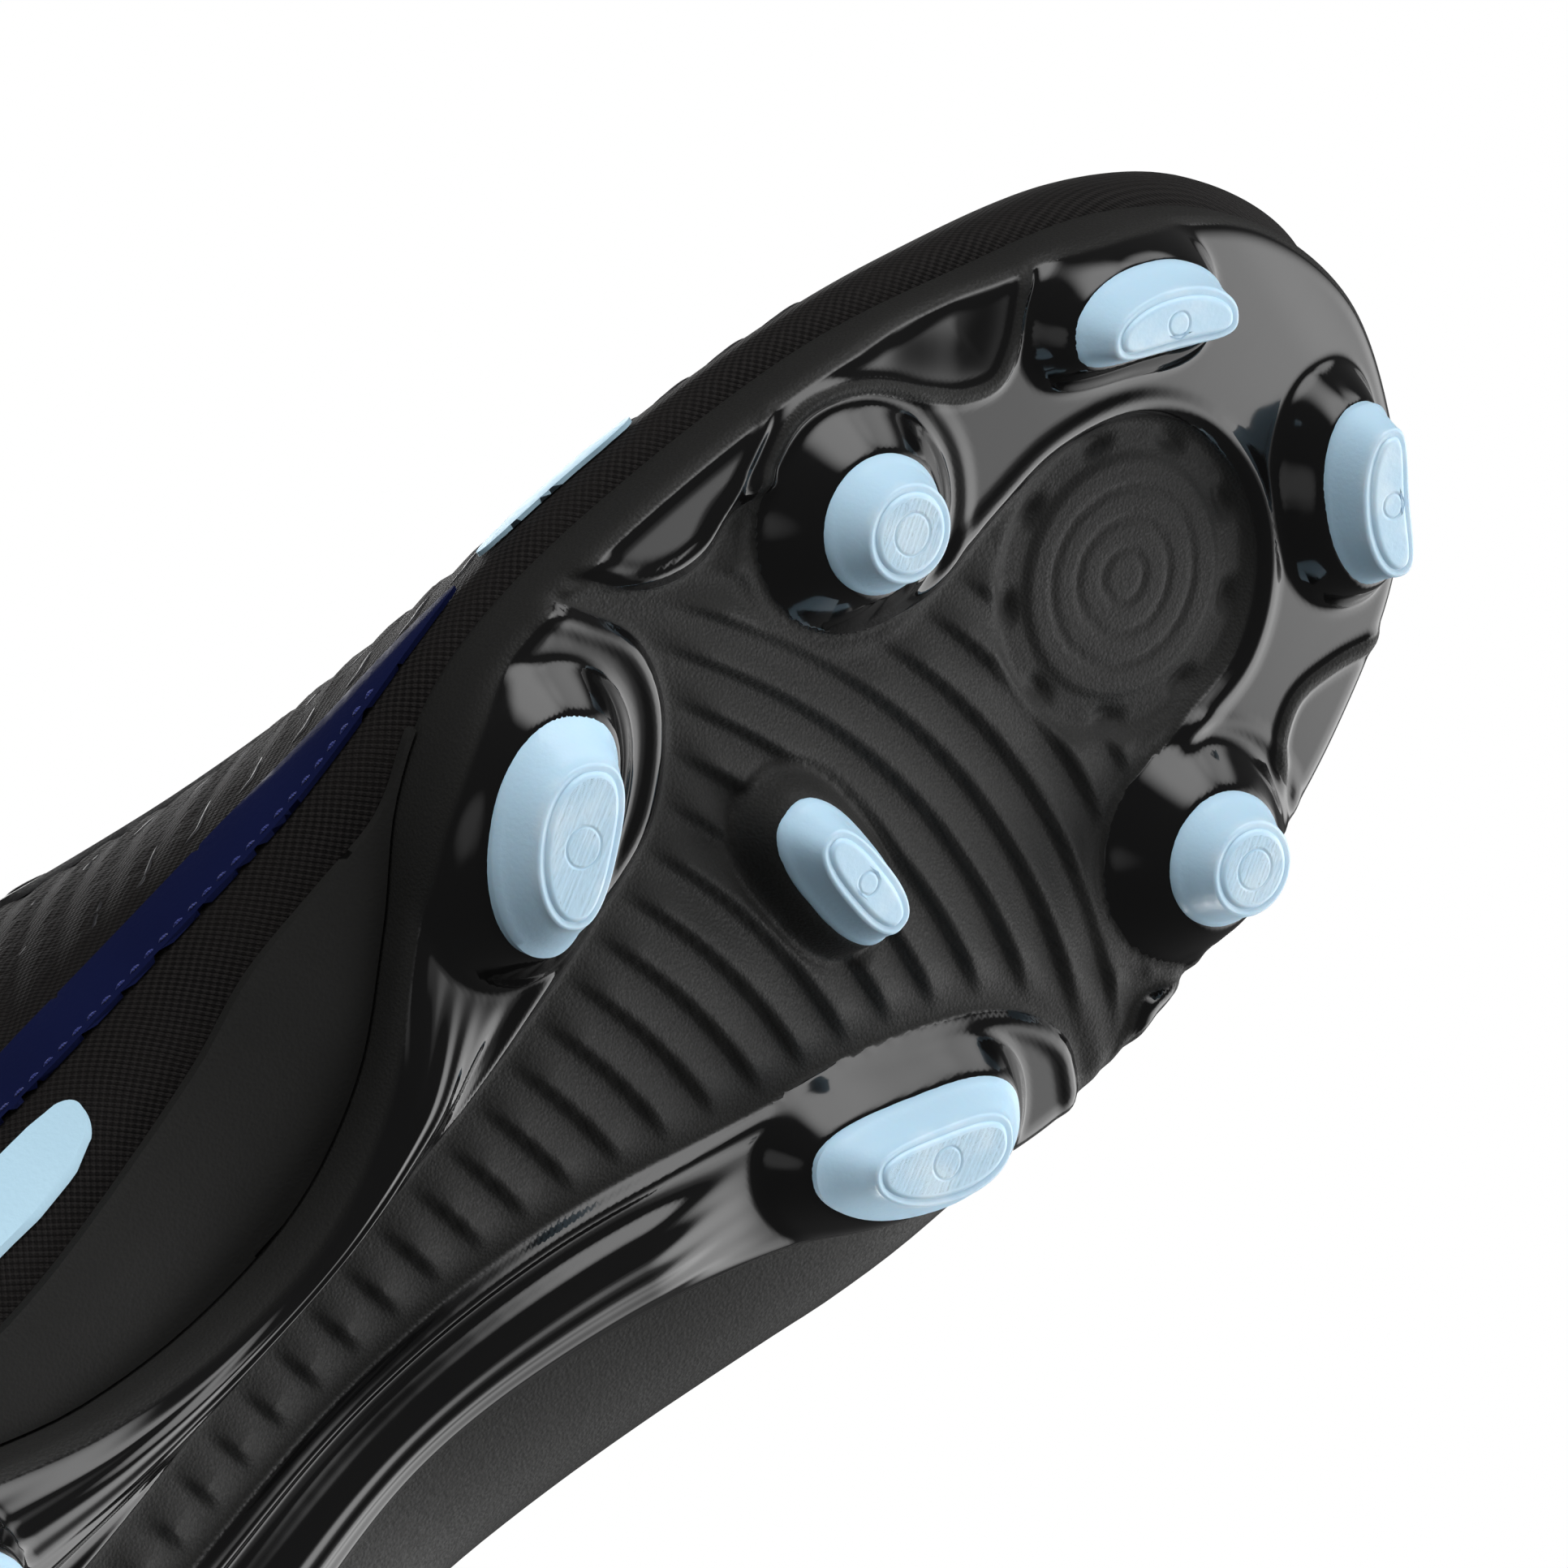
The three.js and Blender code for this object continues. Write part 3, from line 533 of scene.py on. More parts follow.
def blended_max(one, two, radius):
    """The larger of two heights, with the crease between them filled."""
    near = np.maximum(radius - np.abs(one - two), 0)
    return np.maximum(one, two) + near * near / (4 * radius) * (two > 0)


def bead(distance, half):
    """A rounded ridge across `distance`, `half` wide on each side."""
    s = np.clip(np.abs(distance) / half, 0, 1)
    return (1 - s * s) ** 2


# ---------- studs ----------

ROUND = dict(root=(11.5, 11.5), base=(7.4, 7.4), face=(5.2, 5.2), power=2, bend=0, egg=0)
TOE_BLADE = dict(root=(13, 8.5), base=(10, 4.9), face=(8.2, 3.1), power=2.6, bend=1.6, egg=0)
MEDIAL_BLADE = dict(root=(17, 11.5), base=(12.6, 7.2), face=(8.6, 5), power=2.3, bend=1, egg=0.12)
LATERAL_BLADE = dict(root=(17, 10), base=(13.4, 6.6), face=(9, 4.2), power=2.4, bend=-1, egg=0.12)
CENTRE_BLADE = dict(root=(11.3, 6.2), base=(10, 4.6), face=(7.4, 2.9), power=2.6, bend=0, egg=0)
HEEL_BLADE = dict(root=(15, 9), base=(11, 5.8), face=(8.2, 3.9), power=2.5, bend=1.4, egg=0)
STUDS = [
    ("stud_toe_medial", (89.6, -20.4), 32, TOE_BLADE, 0.4),
    ("stud_toe_lateral", (93.4, 17.7), -61, TOE_BLADE, 1.3),
    ("stud_round_medial", (75.9, -27), 0, ROUND, 0),
    ("stud_round_lateral", (80.2, 36.7), 0, ROUND, 0),
    ("stud_blade_medial", (58.5, -29.8), -44, MEDIAL_BLADE, 0),
    ("stud_blade_lateral", (63.2, 33), 31, LATERAL_BLADE, 0),
    ("stud_centre", (66.9, 0.2), 85, CENTRE_BLADE, 0.4),
    ("stud_heel_front_medial", (22.5, -15.5), -6, HEEL_BLADE, 0),
    ("stud_heel_front_lateral", (22.5, 19.5), 186, HEEL_BLADE, 0),
    ("stud_heel_rear_medial", (9.6, -11), -32, HEEL_BLADE, 0),
    ("stud_heel_rear_lateral", (9.6, 13.5), 212, HEEL_BLADE, 0),
]


def stud_ring(stud, size, count):
    """A stud's closed outline in plan, bent and egg-shaped along its long side."""
    _, at, degrees, shape, _ = stud
    turn = math.radians(degrees)
    t = np.arange(count) / count * 2 * np.pi
    u = signed_power(np.cos(t), 2 / shape["power"])
    v = signed_power(np.sin(t), 2 / shape["power"])
    a = u * size[0]
    b = v * size[1] * (1 + shape["egg"] * u) + shape["bend"] * (u * u - 0.4) * (size[0] / 10)
    return np.stack([along(at[0]) + a * math.cos(turn) - b * math.sin(turn),
                     across(at[1]) + a * math.sin(turn) + b * math.cos(turn)], 1)


def mixed(one, two, share):
    return tuple(a + (b - a) * share for a, b in zip(one, two))


TIP_SIDES = 72
# The raised pad of a ground face: height above the face, growth of its outline, share of wear.
PAD_LEVELS = ((0.42, 0.22, 0.6), (0.42, 0.08, 0.6), (0.12, -0.12, 0.9), (0.02, -0.34, 1.0),
              (0.0, -0.52, 1.0), (0.0, -0.72, 1.0))


def stud_tip(stud, material):
    """The light tip: drafted sides, rounded rim, ground face with a raised pad and a small ring mark."""
    name, at, _, shape, lift = stud
    base, face = shape["base"], shape["face"]
    top = lift + STUD_TIP_HEIGHT
    pad = tuple(f - 0.9 for f in face)
    mark = min(face) * 0.42
    levels = [(top + 1.0, base, 0.0), (top + 0.05, base, 0.0), (top - 0.35, base, 0.0)]
    for share in (0.2, 0.4, 0.6, 0.78):
        hollow = 0.08 * math.sin(share * math.pi)
        size = tuple(s - hollow for s in mixed(base, face, share))
        levels.append((top - (STUD_TIP_HEIGHT - 0.45) * share, size, share * 0.4))
    for k in range(5):
        angle = k / 4 * math.pi / 2
        inset = 0.42 * (1 - math.cos(angle))
        size = tuple(f + 0.12 - inset for f in face)
        levels.append((lift + 0.28 + 0.45 * (1 - math.sin(angle)), size, 0.7))
    levels += [(lift + up, tuple(p + wider for p in pad), value) for up, wider, value in PAD_LEVELS]
    points = [np.column_stack([stud_ring(stud, size, TIP_SIDES), np.full(TIP_SIDES, z)])
              for z, size, _ in levels]
    face_value = [value for _, _, value in levels]
    centre = np.array([along(at[0]), across(at[1])])
    angle = np.arctan2(points[-1][:, 1] - centre[1], points[-1][:, 0] - centre[0])
    circle = np.stack([np.cos(angle), np.sin(angle)], 1)
    for radius, depth in ((mark + 0.4, 0.0), (mark + 0.2, 0.0), (mark + 0.1, 0.1), (mark, 0.1),
                          (mark - 0.1, 0.0), (mark - 0.3, 0.0), (mark * 0.6, 0.0), (mark * 0.2, 0.0)):
        points.append(np.column_stack([centre + circle * radius, np.full(TIP_SIDES, lift + depth)]))
        face_value.append(1.0)
    obj = mesh_object(name + "_tip", np.vstack(points), ring_faces(len(points), TIP_SIDES, flip=True),
                      attributes={"face": np.repeat(face_value, TIP_SIDES)})
    sharpen(obj, 50)
    return finish_piece(obj, material, (name,))


def sharpen(obj, degrees):
    """Smooth shading with edges sharper than an angle kept crisp."""
    mesh = obj.data
    mesh.polygons.foreach_set("use_smooth", np.ones(len(mesh.polygons), bool))
    mesh.set_sharp_from_angle(angle=math.radians(degrees))


# ---------- sole plate ----------

# Plan features run in millimetres from the middle of the round pocket.
POCKET_AT = np.array([along(83.9), across(5)])
DISC_RADIUS = 12.95
POCKET_RADIUS = 17.4
POCKET_DEPTH, DISC_HEIGHT = 0.8, 0.5
THUMB_MARKS, THUMB_RADIUS, THUMB_DEPTH = 9, 15.2, 0.95
DISC_RINGS = ((9.6, 0.32), (6.2, 0.3), (2.8, 0.3))
WEB_RING = catmull([
    (-19, 42), (-22, 30), (-16, 21), (-4, 18), (6, 17), (13, 12), (17, 4), (16, -6), (11, -13), (1, -17.4),
    (-9, -17.6), (-19, -17), (-27, -19.5), (-33, -27), (-34.2, -34), (-30, -41), (-34, -42), (-39, -40.5),
    (-46, -43), (-54, -53), (-56, -53), (-53, -48), (-49.5, -40), (-51, -32), (-59, -23), (-70, -19),
    (-92, -13), (-113, -10), (-145, -7.5), (-175, -7), (-200, -5), (-219, 0), (-200, 4), (-175, 3.5),
    (-145, 2.5), (-127, 2), (-103, 3), (-87, 6), (-66, 13), (-51, 18.5), (-38.5, 27), (-34.5, 36),
    (-38, 46), (-34, 46), (-25, 39.5)], 6)
VEINS = [
    catmull([(12, -40), (6.5, -35), (3, -32), (-1, -30.3), (-5, -32), (-8, -35), (-14, -42), (-21, -45.5),
             (-27, -44), (-31, -41)], 6, closed=False),
    catmull([(22, 31), (15, 28), (9, 27), (5, 29), (2.5, 32), (0, 36), (-1, 40)], 6, closed=False),
]
LENSES = [
    catmull([(-20, -50), (-31, -45), (-39, -43), (-46, -45), (-53, -50)], 6, closed=False),
    catmull([(-17, 45), (-25, 40.5), (-33, 44)], 6, closed=False),
]
TOE_PANE = catmull([(11, -41), (6.5, -35), (3, -32), (-1, -30.3), (-5, -32), (-8, -35), (-13, -41),
                    (-13, -54), (11, -54)], 6)
RIB_FIRST, RIB_PITCH, RIB_BOW, RIB_CREST = -6.7, 5.5, 0.0068, 9.0
RIB_DEPTH = 1.3
rail_depth = profile([[3, 0.4], [14, 1.6], [25, 2.9], [35, 3.4], [50, 3.6], [58, 3.0], [63, 1.6], [66.5, 0]])
# Depth of a side rail by share of its width, from the web out to the edge.
RAIL_CURVE = catmull([
    (0, 0), (0.05, 0.20), (0.11, 0.20), (0.17, 0.12), (0.24, 0.26), (0.33, 0.62), (0.46, 0.93), (0.60, 1.0),
    (0.72, 0.88), (0.83, 0.62), (0.92, 0.30), (1.0, 0.0)], 14, closed=False)
RAIL_FLUTE, RAIL_FLUTE_PITCH = 0.032, 0.15
EDGE_ROUNDING = 2.6


def rib_height(x, y):
    """Shingled arcs across the web: a crest on the heel side and a long slope towards the toe."""
    u = x + RIB_BOW * (y - RIB_CREST) ** 2
    phase = np.mod((u - RIB_FIRST) / RIB_PITCH, 1.0)
    rise = smooth(phase, 0.0, 0.18)
    fall = (1 - smooth(phase, 0.11, 1.0)) ** 1.35
    return rise * fall


def pocket_height(x, y):
    """The round pocket: a raised disc with plain rings, and a circle of shallow thumb marks."""
    r = np.hypot(x, y)
    angle = np.arctan2(y, x)
    height = -POCKET_DEPTH * (1 - smooth(r, POCKET_RADIUS - 1.2, POCKET_RADIUS + 0.5))
    height += DISC_HEIGHT * (1 - smooth(r, DISC_RADIUS - 0.4, DISC_RADIUS + 0.4))
    around = (np.mod(angle / (2 * np.pi) * THUMB_MARKS + 0.2, 1.0) - 0.5) * 2
    height -= THUMB_DEPTH * (bead(around, 0.55) * bead(r - THUMB_RADIUS, 1.5))
    for radius, depth in DISC_RINGS:
        height -= depth * bead(r - radius, 0.5)
    return height


def name_has(stud, *words):
    return any(word in stud[0] for word in words)


def clear_of_studs(px, py):
    """0 beside the large blades and 1 away from them, so that the rails die out before their roots."""
    clear = np.ones(px.shape)
    for stud in STUDS:
        if name_has(stud, "stud_blade"):
            close = np.hypot(px - along(stud[1][0]), py - across(stud[1][1])) < 48
            away = signed_distance(px[close], py[close], stud_ring(stud, stud[3]["base"], 96))
            clear[close] = np.minimum(clear[close], smooth(away, 3.5, 20))
    return clear


def stud_dome(px, py, stud):
    """Depth of the black root round a stud: a bulging shoulder and a fillet into the sole."""
    _, at, _, shape, lift = stud
    close = np.hypot(px - along(at[0]), py - across(at[1])) < 34
    depth = np.full(px.shape, -9.0)
    lip = np.zeros(px.shape)
    x, y = px[close], py[close]
    base = stud_ring(stud, shape["base"], 96)
    away = signed_distance(x, y, base)
    reach = (shape["root"][0] - shape["base"][0] + shape["root"][1] - shape["base"][1]) / 2 + 1.4
    full = plate_underside(along(at[0])) - lift - STUD_TIP_HEIGHT
    q = np.clip(away / reach, 0, 1)
    crisp = 1 - q ** 1.15
    soft = (1 - q) ** 1.6 * (1 + 0.9 * q)
    shoulder = crisp if name_has(stud, "blade", "round") else soft
    depth[close] = np.where(q < 1, full * shoulder, -9 * smooth(away, reach, reach + 1.5))
    if name_has(stud, "round"):
        lip[close] = bead(away - reach - 1.1, 1.4)
    return depth, lip, close, away


def plate_relief(px, py):
    """Depth below the plain underside, and how glossy the surface is, over the plan."""
    x, y = px - POCKET_AT[0], py - POCKET_AT[1]
    web = signed_distance(x, y, WEB_RING)
    rim = signed_distance(px, py, PLATE_OUTLINE)
    inner = np.maximum(-rim, 0)
    shell = smooth(web, -0.5, 2.0)
    relief = shell + 0.35 * bead(web - 1.9, 1.9)
    gloss = web - 0.3
    # shingled ribs in the web, which stop short of the round pocket
    ribs = rib_height(x, y) * (1 - smooth(web, -6.5, -0.4))
    ribs = ribs * smooth(np.hypot(x, y), POCKET_RADIUS - 0.3, POCKET_RADIUS + 1.6)
    front = 1 - smooth(x + 0.35 * np.abs(y), -2, 6)
    # hollow rails with flutes, either side of the web
    share = np.clip(web / np.maximum(web + inner, 1e-3), 0, 1)
    rail = np.interp(share, RAIL_CURVE[:, 0], RAIL_CURVE[:, 1])
    rail = rail + RAIL_FLUTE * np.sin(share * 2 * np.pi / RAIL_FLUTE_PITCH) * (
        smooth(share, 0.12, 0.28) * (1 - smooth(share, 0.8, 0.98)))
    depth = rail_depth(px) * clear_of_studs(px, py)
    relief = relief + np.where(web > 0, depth * rail, 0) * smooth(web, 0, 1.6)
    # raised veins, the sunk pane between the toe studs, and lens-shaped edges
    for vein in VEINS:
        away = polyline_distance(x, y, vein)
        relief = relief + 0.55 * bead(away, 1.5)
        gloss = np.minimum(gloss, away - 0.8)
    relief = relief - 1.1 * smooth(-signed_distance(x, y, TOE_PANE), 0.8, 8)
    for lens in LENSES:
        relief = relief + 0.4 * bead(polyline_distance(x, y, lens), 1.0)
    relief = relief + pocket_height(x, y)
    # stud roots: the centre one stays matte and clears the ribs round it
    for stud in STUDS:
        dome, lip, close, away = stud_dome(px, py, stud)
        if stud[0] != "stud_centre":
            relief = relief + 0.25 * lip
            gloss = np.maximum(gloss, smooth(dome, 0.1, 0.6) * 2 - 1)
        else:
            close_ring = np.zeros(px.shape)
            close_ring[close] = 1 - smooth(away, 2.2, 4.2)
            ribs = ribs * (1 - close_ring)
        relief = blended_max(relief, dome, 0.9)
        ribs = ribs * (1 - smooth(dome, 0.0, 0.8))
    relief = relief + RIB_DEPTH * ribs * front
    # the bottom edge is rounded off
    r = EDGE_ROUNDING
    over = np.clip(r - inner, 0, r)
    relief = relief - (r - np.sqrt(np.maximum(r * r - over * over, 0))) * 0.8
    gloss = np.minimum(gloss, inner - 0.9)
    return relief, gloss


CROWDING = 0.35


def crowded(count):
    """Shares from -1 to 1, closer together towards the ends."""
    s = np.linspace(-1, 1, count)
    return (1 - CROWDING) * s + CROWDING * np.sin(s * np.pi / 2)


PLATE_ROWS = 460
PLATE_COLUMNS = 189


def plate_stations():
    """Stations of the plate: closest together over the forefoot and at the rounded ends."""
    low, high = PLATE_OUTLINE[:, 0].min() + 0.02, PLATE_OUTLINE[:, 0].max() - 0.02
    fine = np.linspace(low, high, 4000)
    weight = np.where(fine > -50, 1.5, 0.75)
    weight += 4 * np.exp(-(fine - low) / 2.5) + 6 * np.exp(-(high - fine) / 2.5)
    total = np.concatenate([[0], np.cumsum((weight[1:] + weight[:-1]) / 2)])
    return np.interp(np.linspace(0, total[-1], PLATE_ROWS), total, fine)


def last_underside(x, y, grow):
    """Height of the last's underside over a point in plan."""
    middle, half = breadth(x, grow)
    c = np.clip(np.abs(y - middle) / half, 0, 1)
    return widest_line(x) - (belly(x) + grow) * (1 - c ** FEATHER_POWER) ** (1 / FEATHER_POWER)


def plate(material):
    xs = plate_stations()
    medial, lateral = plate_edges(xs)
    share = crowded(PLATE_COLUMNS)
    x = np.repeat(xs[:, None], PLATE_COLUMNS, 1)
    y = (medial + lateral)[:, None] / 2 + (lateral - medial)[:, None] / 2 * share
    relief, gloss = plate_relief(x.ravel(), y.ravel())
    z = plate_underside(x.ravel()) - relief
    points = [np.column_stack([x.ravel(), y.ravel(), z])]
    values = [gloss]
    faces = grid_quads(PLATE_ROWS, PLATE_COLUMNS).tolist()
    rings = [np.array(grid_edge(PLATE_ROWS, PLATE_COLUMNS))]
    rim = points[0][rings[0]]
    middle = np.column_stack([rim[:, 0] * 0.97, np.interp(rim[:, 0], xs, (medial + lateral) / 2)])
    inward = middle - rim[:, :2]
    inward /= np.maximum(np.linalg.norm(inward, axis=1), 1e-6)[:, None]
    low = rim[:, 2]
    lip = upper_bottom(rim[:, 0]) + PLATE_LIP

    def add_ring(ring):
        start, one = sum(len(rows) for rows in points), rings[-1]
        two = np.arange(start, start + len(ring))
        faces.extend(np.stack([one, two, np.roll(two, -1), np.roll(one, -1)], 1).tolist())
        points.append(ring)
        values.append(np.full(len(ring), -1.0))
        rings.append(two)

    # the lip, as share of its height and step inwards
    for share_up, step in [(0.25, 0.0), (0.6, 0.0), (0.85, 0.02), (0.96, 0.12), (1.0, 0.45), (1.0, 1.1)]:
        add_ring(np.column_stack([rim[:, :2] + inward * step, low + (lip - low) * share_up]))
    # inside the lip the top follows the last down and closes flat
    for step in (1.6, 3.0, 6.0, 10.0):
        room = np.linalg.norm(middle - rim[:, :2], axis=1) * 0.9
        flat = rim[:, :2] + inward * np.minimum(step, room)[:, None]
        top = np.minimum(lip, last_underside(flat[:, 0], flat[:, 1], GAP) - 0.15)
        add_ring(np.column_stack([flat, np.maximum(top, low + 0.6)]))
    faces.append(rings[-1][::-1].tolist())
    obj = mesh_object("outsole_shell", np.vstack(points), [f[::-1] for f in faces],
                      attributes={"gloss": np.concatenate(values)})
    finish_piece(obj, material, ("outsole_plate",))


# ---------- upper: surfaces ----------

HOLLOW_STATIONS, HOLLOW_SIDES = 80, 64


def last_mesh(name, stations_count, around, grow, inner, emboss=False):
    """A shell between two growths of the last."""
    xs = stations(stations_count)
    grid = last_grid(xs, around, grow)
    mark = np.zeros(grid.shape[:2])
    if emboss:
        grid, mark = scalloped(grid)
    steps = np.linalg.norm(np.roll(grid, -1, 1) - grid, axis=2)
    v = np.concatenate([np.zeros((len(grid), 1)), np.cumsum(steps, 1)[:, :-1]], 1)
    v -= v[:, [around // 2]]
    u = np.repeat(grid[:, :1, 0] * 1.02, around, 1)
    hollow = last_grid(stations(HOLLOW_STATIONS), HOLLOW_SIDES, inner).reshape(-1, 3)
    faces = ring_faces(len(xs), around, flip=True)
    faces += ring_faces(HOLLOW_STATIONS + 1, HOLLOW_SIDES, start=len(xs) * around)
    return mesh_object(name, np.vstack([grid.reshape(-1, 3), hollow]), faces,
                       uv=np.vstack([np.stack([u, v], 2).reshape(-1, 2), hollow[:, [0, 2]]]),
                       attributes={"mark": np.concatenate([mark.ravel(), np.zeros(len(hollow))])})


MARK_PITCH = 7.2


def scalloped(grid):
    """Low rows of shingles on both sides of the upper, from the band up to the lacing."""
    x, z = grid[..., 0], grid[..., 2]
    rise = z - upper_bottom(x)
    row = np.mod((x - 0.9 * rise) / MARK_PITCH, 1.0)
    shingle = smooth(row, 0, 0.75) * (1 - smooth(row, 0.8, 1.0))
    zone = smooth(rise, 16, 22) * (1 - smooth(x, 105, 125)) * smooth(x, -60, -30)
    crown = 1 - 0.5 * smooth(rise, 40, 60)
    middle = grid.mean(1, keepdims=True)
    out = grid - middle
    out[..., 0] = 0
    out /= np.maximum(np.linalg.norm(out, axis=2, keepdims=True), 1e-6)
    height = 0.55 * shingle * zone * crown
    return grid + out * height[..., None], shingle * zone * 0.3


def area_of(ring):
    """Twice the signed area of a ring, positive counterclockwise."""
    return np.sum(ring[:, 0] * np.roll(ring[:, 1], -1) - np.roll(ring[:, 0], -1) * ring[:, 1])


def prism(outline, low, high, plane="plan"):
    """A closed prism over an outline, in plan (x, y) or in side view (x, z)."""
    p = np.asarray(outline, float)
    if area_of(p) < 0:
        p = p[::-1]
    n = len(p)
    if plane == "plan":
        one, two = (np.column_stack([p, np.full(n, level)]) for level in (low, high))
    else:
        one, two = (np.column_stack([p[:, 0], np.full(n, level), p[:, 1]]) for level in (high, low))
    faces = [list(range(n))[::-1], [n + k for k in range(n)]]
    faces += [[k, (k + 1) % n, n + (k + 1) % n, n + k] for k in range(n)]
    return mesh_object("cutter", np.vstack([one, two]), faces, smooth=False)


def band_block(low, high):
    """The slice between two heights that follow the length."""
    xs = np.linspace(-LENGTH * 0.53, LENGTH * 0.53, 90)
    edges = [np.column_stack([xs, low(xs)]), np.column_stack([xs, high(xs)])[::-1]]
    return prism(np.vstack(edges), -WIDTH, WIDTH, "side")


def cut(obj, cutter, operation="DIFFERENCE"):
    """One boolean, applied at once."""
    mod = obj.modifiers.new("cut", "BOOLEAN")
    mod.operation, mod.solver, mod.object = operation, "MANIFOLD", cutter
    bpy.context.view_layer.update()
    mesh = bpy.data.meshes.new_from_object(obj.evaluated_get(bpy.context.evaluated_depsgraph_get()))
    obj.modifiers.clear()
    old = obj.data
    obj.data = mesh
    bpy.data.meshes.remove(old)
    bpy.data.objects.remove(cutter)
    return obj


SIDE_SIGN = {"medial": -1, "lateral": 1}
THROAT_FRONT, THROAT_REAR, TONGUE_TOP = 71.5, 40, 36.5
EYELET_FIRST, EYELET_LAST, EYELET_INSET, EYELET_COUNT = 67, 49.5, 7, 5
EYELET_RADIUS, EYELET_SIDES = 2.0, 20


def above_top_line(drop=0.0):
    t = np.linspace(0, 47, 60)
    low = height_of(top_line(along(t))) - drop
    points = [(along(-20), COLLAR_HEIGHT * 1.6), (along(-20), low[0])]
    points += list(zip(along(t), low))
    points += [(along(47), COLLAR_HEIGHT * 1.6)]
    return prism(points, -WIDTH, WIDTH, "side")


def throat_edge(t):
    share = (THROAT_FRONT - np.asarray(t, float)) / (THROAT_FRONT - THROAT_REAR)
    return across(-4.5 * (1 - share)), THROAT_WIDTH * (0.33 + 0.2 * share)


def throat_outline():
    front = along(THROAT_FRONT)
    middle, nose = throat_edge(THROAT_FRONT)
    a = np.linspace(-np.pi / 2, np.pi / 2, 33)
    points = list(zip(front - nose + nose * np.cos(a), middle + nose * np.sin(a)))
    t = np.concatenate([np.linspace(66, 42, 13), [THROAT_REAR]])
    mid, wide = throat_edge(t)
    points += list(zip(along(t), mid + wide))
    points += list(zip(along(t), mid - wide))[::-1]
    return np.array(points)


def crown_height(x, y, grow):
    """Height of the last's top, grown by `grow`, over points in plan."""
    middle, half = breadth(x, grow)
    power = crown_power(x)
    lift = np.ones(np.broadcast(x, y).shape)
    for _ in range(12):
        c = np.clip(np.abs(y - middle - crown_shift(x) * lift ** 2) / half, 0, 1)
        lift = 0.5 * lift + 0.5 * (1 - c ** power) ** (1 / power)
    return widest_line(x) + (crown(x) + grow) * lift


def outer_tree(grow):
    """For laying small things on the upper: a ray tree of its surface, in source millimetres."""
    xs = stations(170)
    grid = last_grid(xs, 180, grow)
    points = grid.reshape(-1, 3)
    return BVHTree.FromPolygons([Vector(p) for p in points.tolist()], ring_faces(len(xs), 180, flip=True))


def on_side(tree, x, z, side):
    """Point and outward normal of the surface at a station and height on one side."""
    sign = SIDE_SIGN[side]
    hit, normal, _, _ = tree.ray_cast(Vector((x, sign * 120, z)), Vector((0, -sign, 0)))
    if hit is None:
        return None
    if normal.y * sign < 0:
        normal = -normal
    return np.array(hit), np.array(normal)


def on_top(tree, x, y):
    hit, normal, _, _ = tree.ray_cast(Vector((x, y, 200)), Vector((0, 0, -1)))
    if hit is None:
        return None
    return np.array(hit), np.array(normal if normal.z > 0 else -normal)


def spaced(points, step):
    """Points along a polyline at an even step."""
    p = np.asarray(points, float)
    d = np.concatenate([[0], np.cumsum(np.linalg.norm(np.diff(p, axis=0), axis=1))])
    at = np.arange(step / 2, d[-1], step)
    return np.stack([np.interp(at, d, p[:, k]) for k in range(p.shape[1])], 1)


THREAD_SIDES = 6


def thread_ring(centre, beside, up, radius, flat=1.0):
    turns = [k / THREAD_SIDES * 2 * math.pi for k in range(THREAD_SIDES)]
    return [centre + beside * (radius * math.cos(a)) + up * (radius * flat * math.sin(a)) for a in turns]


def stitches(name, points, normals, length, radius, material):
    """A row of thread stitches: short plump capsules lying on the surface."""
    all_points, faces = [], []
    rows = 5
    for k in range(len(points) - 1):
        ahead = points[k + 1] - points[k]
        if np.linalg.norm(ahead) < 1e-6:
            continue
        ahead /= np.linalg.norm(ahead)
        up = normals[k] / np.linalg.norm(normals[k])
        beside = np.cross(up, ahead)
        start = len(all_points)
        for i in range(rows):
            s = i / (rows - 1) * 2 - 1
            r = radius * math.sqrt(max(0.05, 1 - s * s * 0.92))
            centre = points[k] + ahead * (s * length / 2) + up * (radius * (0.65 - 0.8 * s * s))
            all_points += thread_ring(centre, beside, up, r)
        faces += ring_faces(rows, THREAD_SIDES, start=start)
    finish_piece(mesh_object(name, np.array(all_points), faces), material)


def ridges(name, lines, radius, material):
    """Thin raised lines that taper at both ends, half sunk in the surface."""
    all_points, faces = [], []
    for points, normals in lines:
        start = len(all_points)
        n = len(points)
        for i in range(n):
            ahead = points[min(i + 1, n - 1)] - points[max(i - 1, 0)]
            ahead = ahead / max(1e-9, np.linalg.norm(ahead))
            r = radius * (0.25 + 0.75 * math.sin(math.pi * min(1, max(0, i / (n - 1)))) ** 0.6)
            all_points += thread_ring(points[i], np.cross(normals[i], ahead), normals[i], r, 0.8)
        faces += ring_faces(n, THREAD_SIDES, start=start)
    finish_piece(mesh_object(name, np.array(all_points), faces), material)


# ---------- upper: pieces ----------

FEATHER_INSET = 9


def inset_ring(ring, inset):
    d = np.roll(ring, -1, 0) - np.roll(ring, 1, 0)
    d /= np.maximum(np.linalg.norm(d, axis=1), 1e-9)[:, None]
    return ring + np.sign(area_of(ring)) * inset * np.stack([-d[:, 1], d[:, 0]], 1)


def eyelets(tree, side):
    """Middle and outward normal of each lace hole of one side, and two directions in the surface."""
    for k in range(EYELET_COUNT):
        t = EYELET_FIRST - k * (EYELET_FIRST - EYELET_LAST) / (EYELET_COUNT - 1)
        middle, half = throat_edge(t)
        spot = middle + SIDE_SIGN[side] * (half + EYELET_INSET)
        centre, normal = on_top(tree, float(along(t)), float(spot))
        beside = np.cross(normal, [1.0, 0, 0])
        beside /= np.linalg.norm(beside)
        yield centre, normal, np.cross(beside, normal), beside


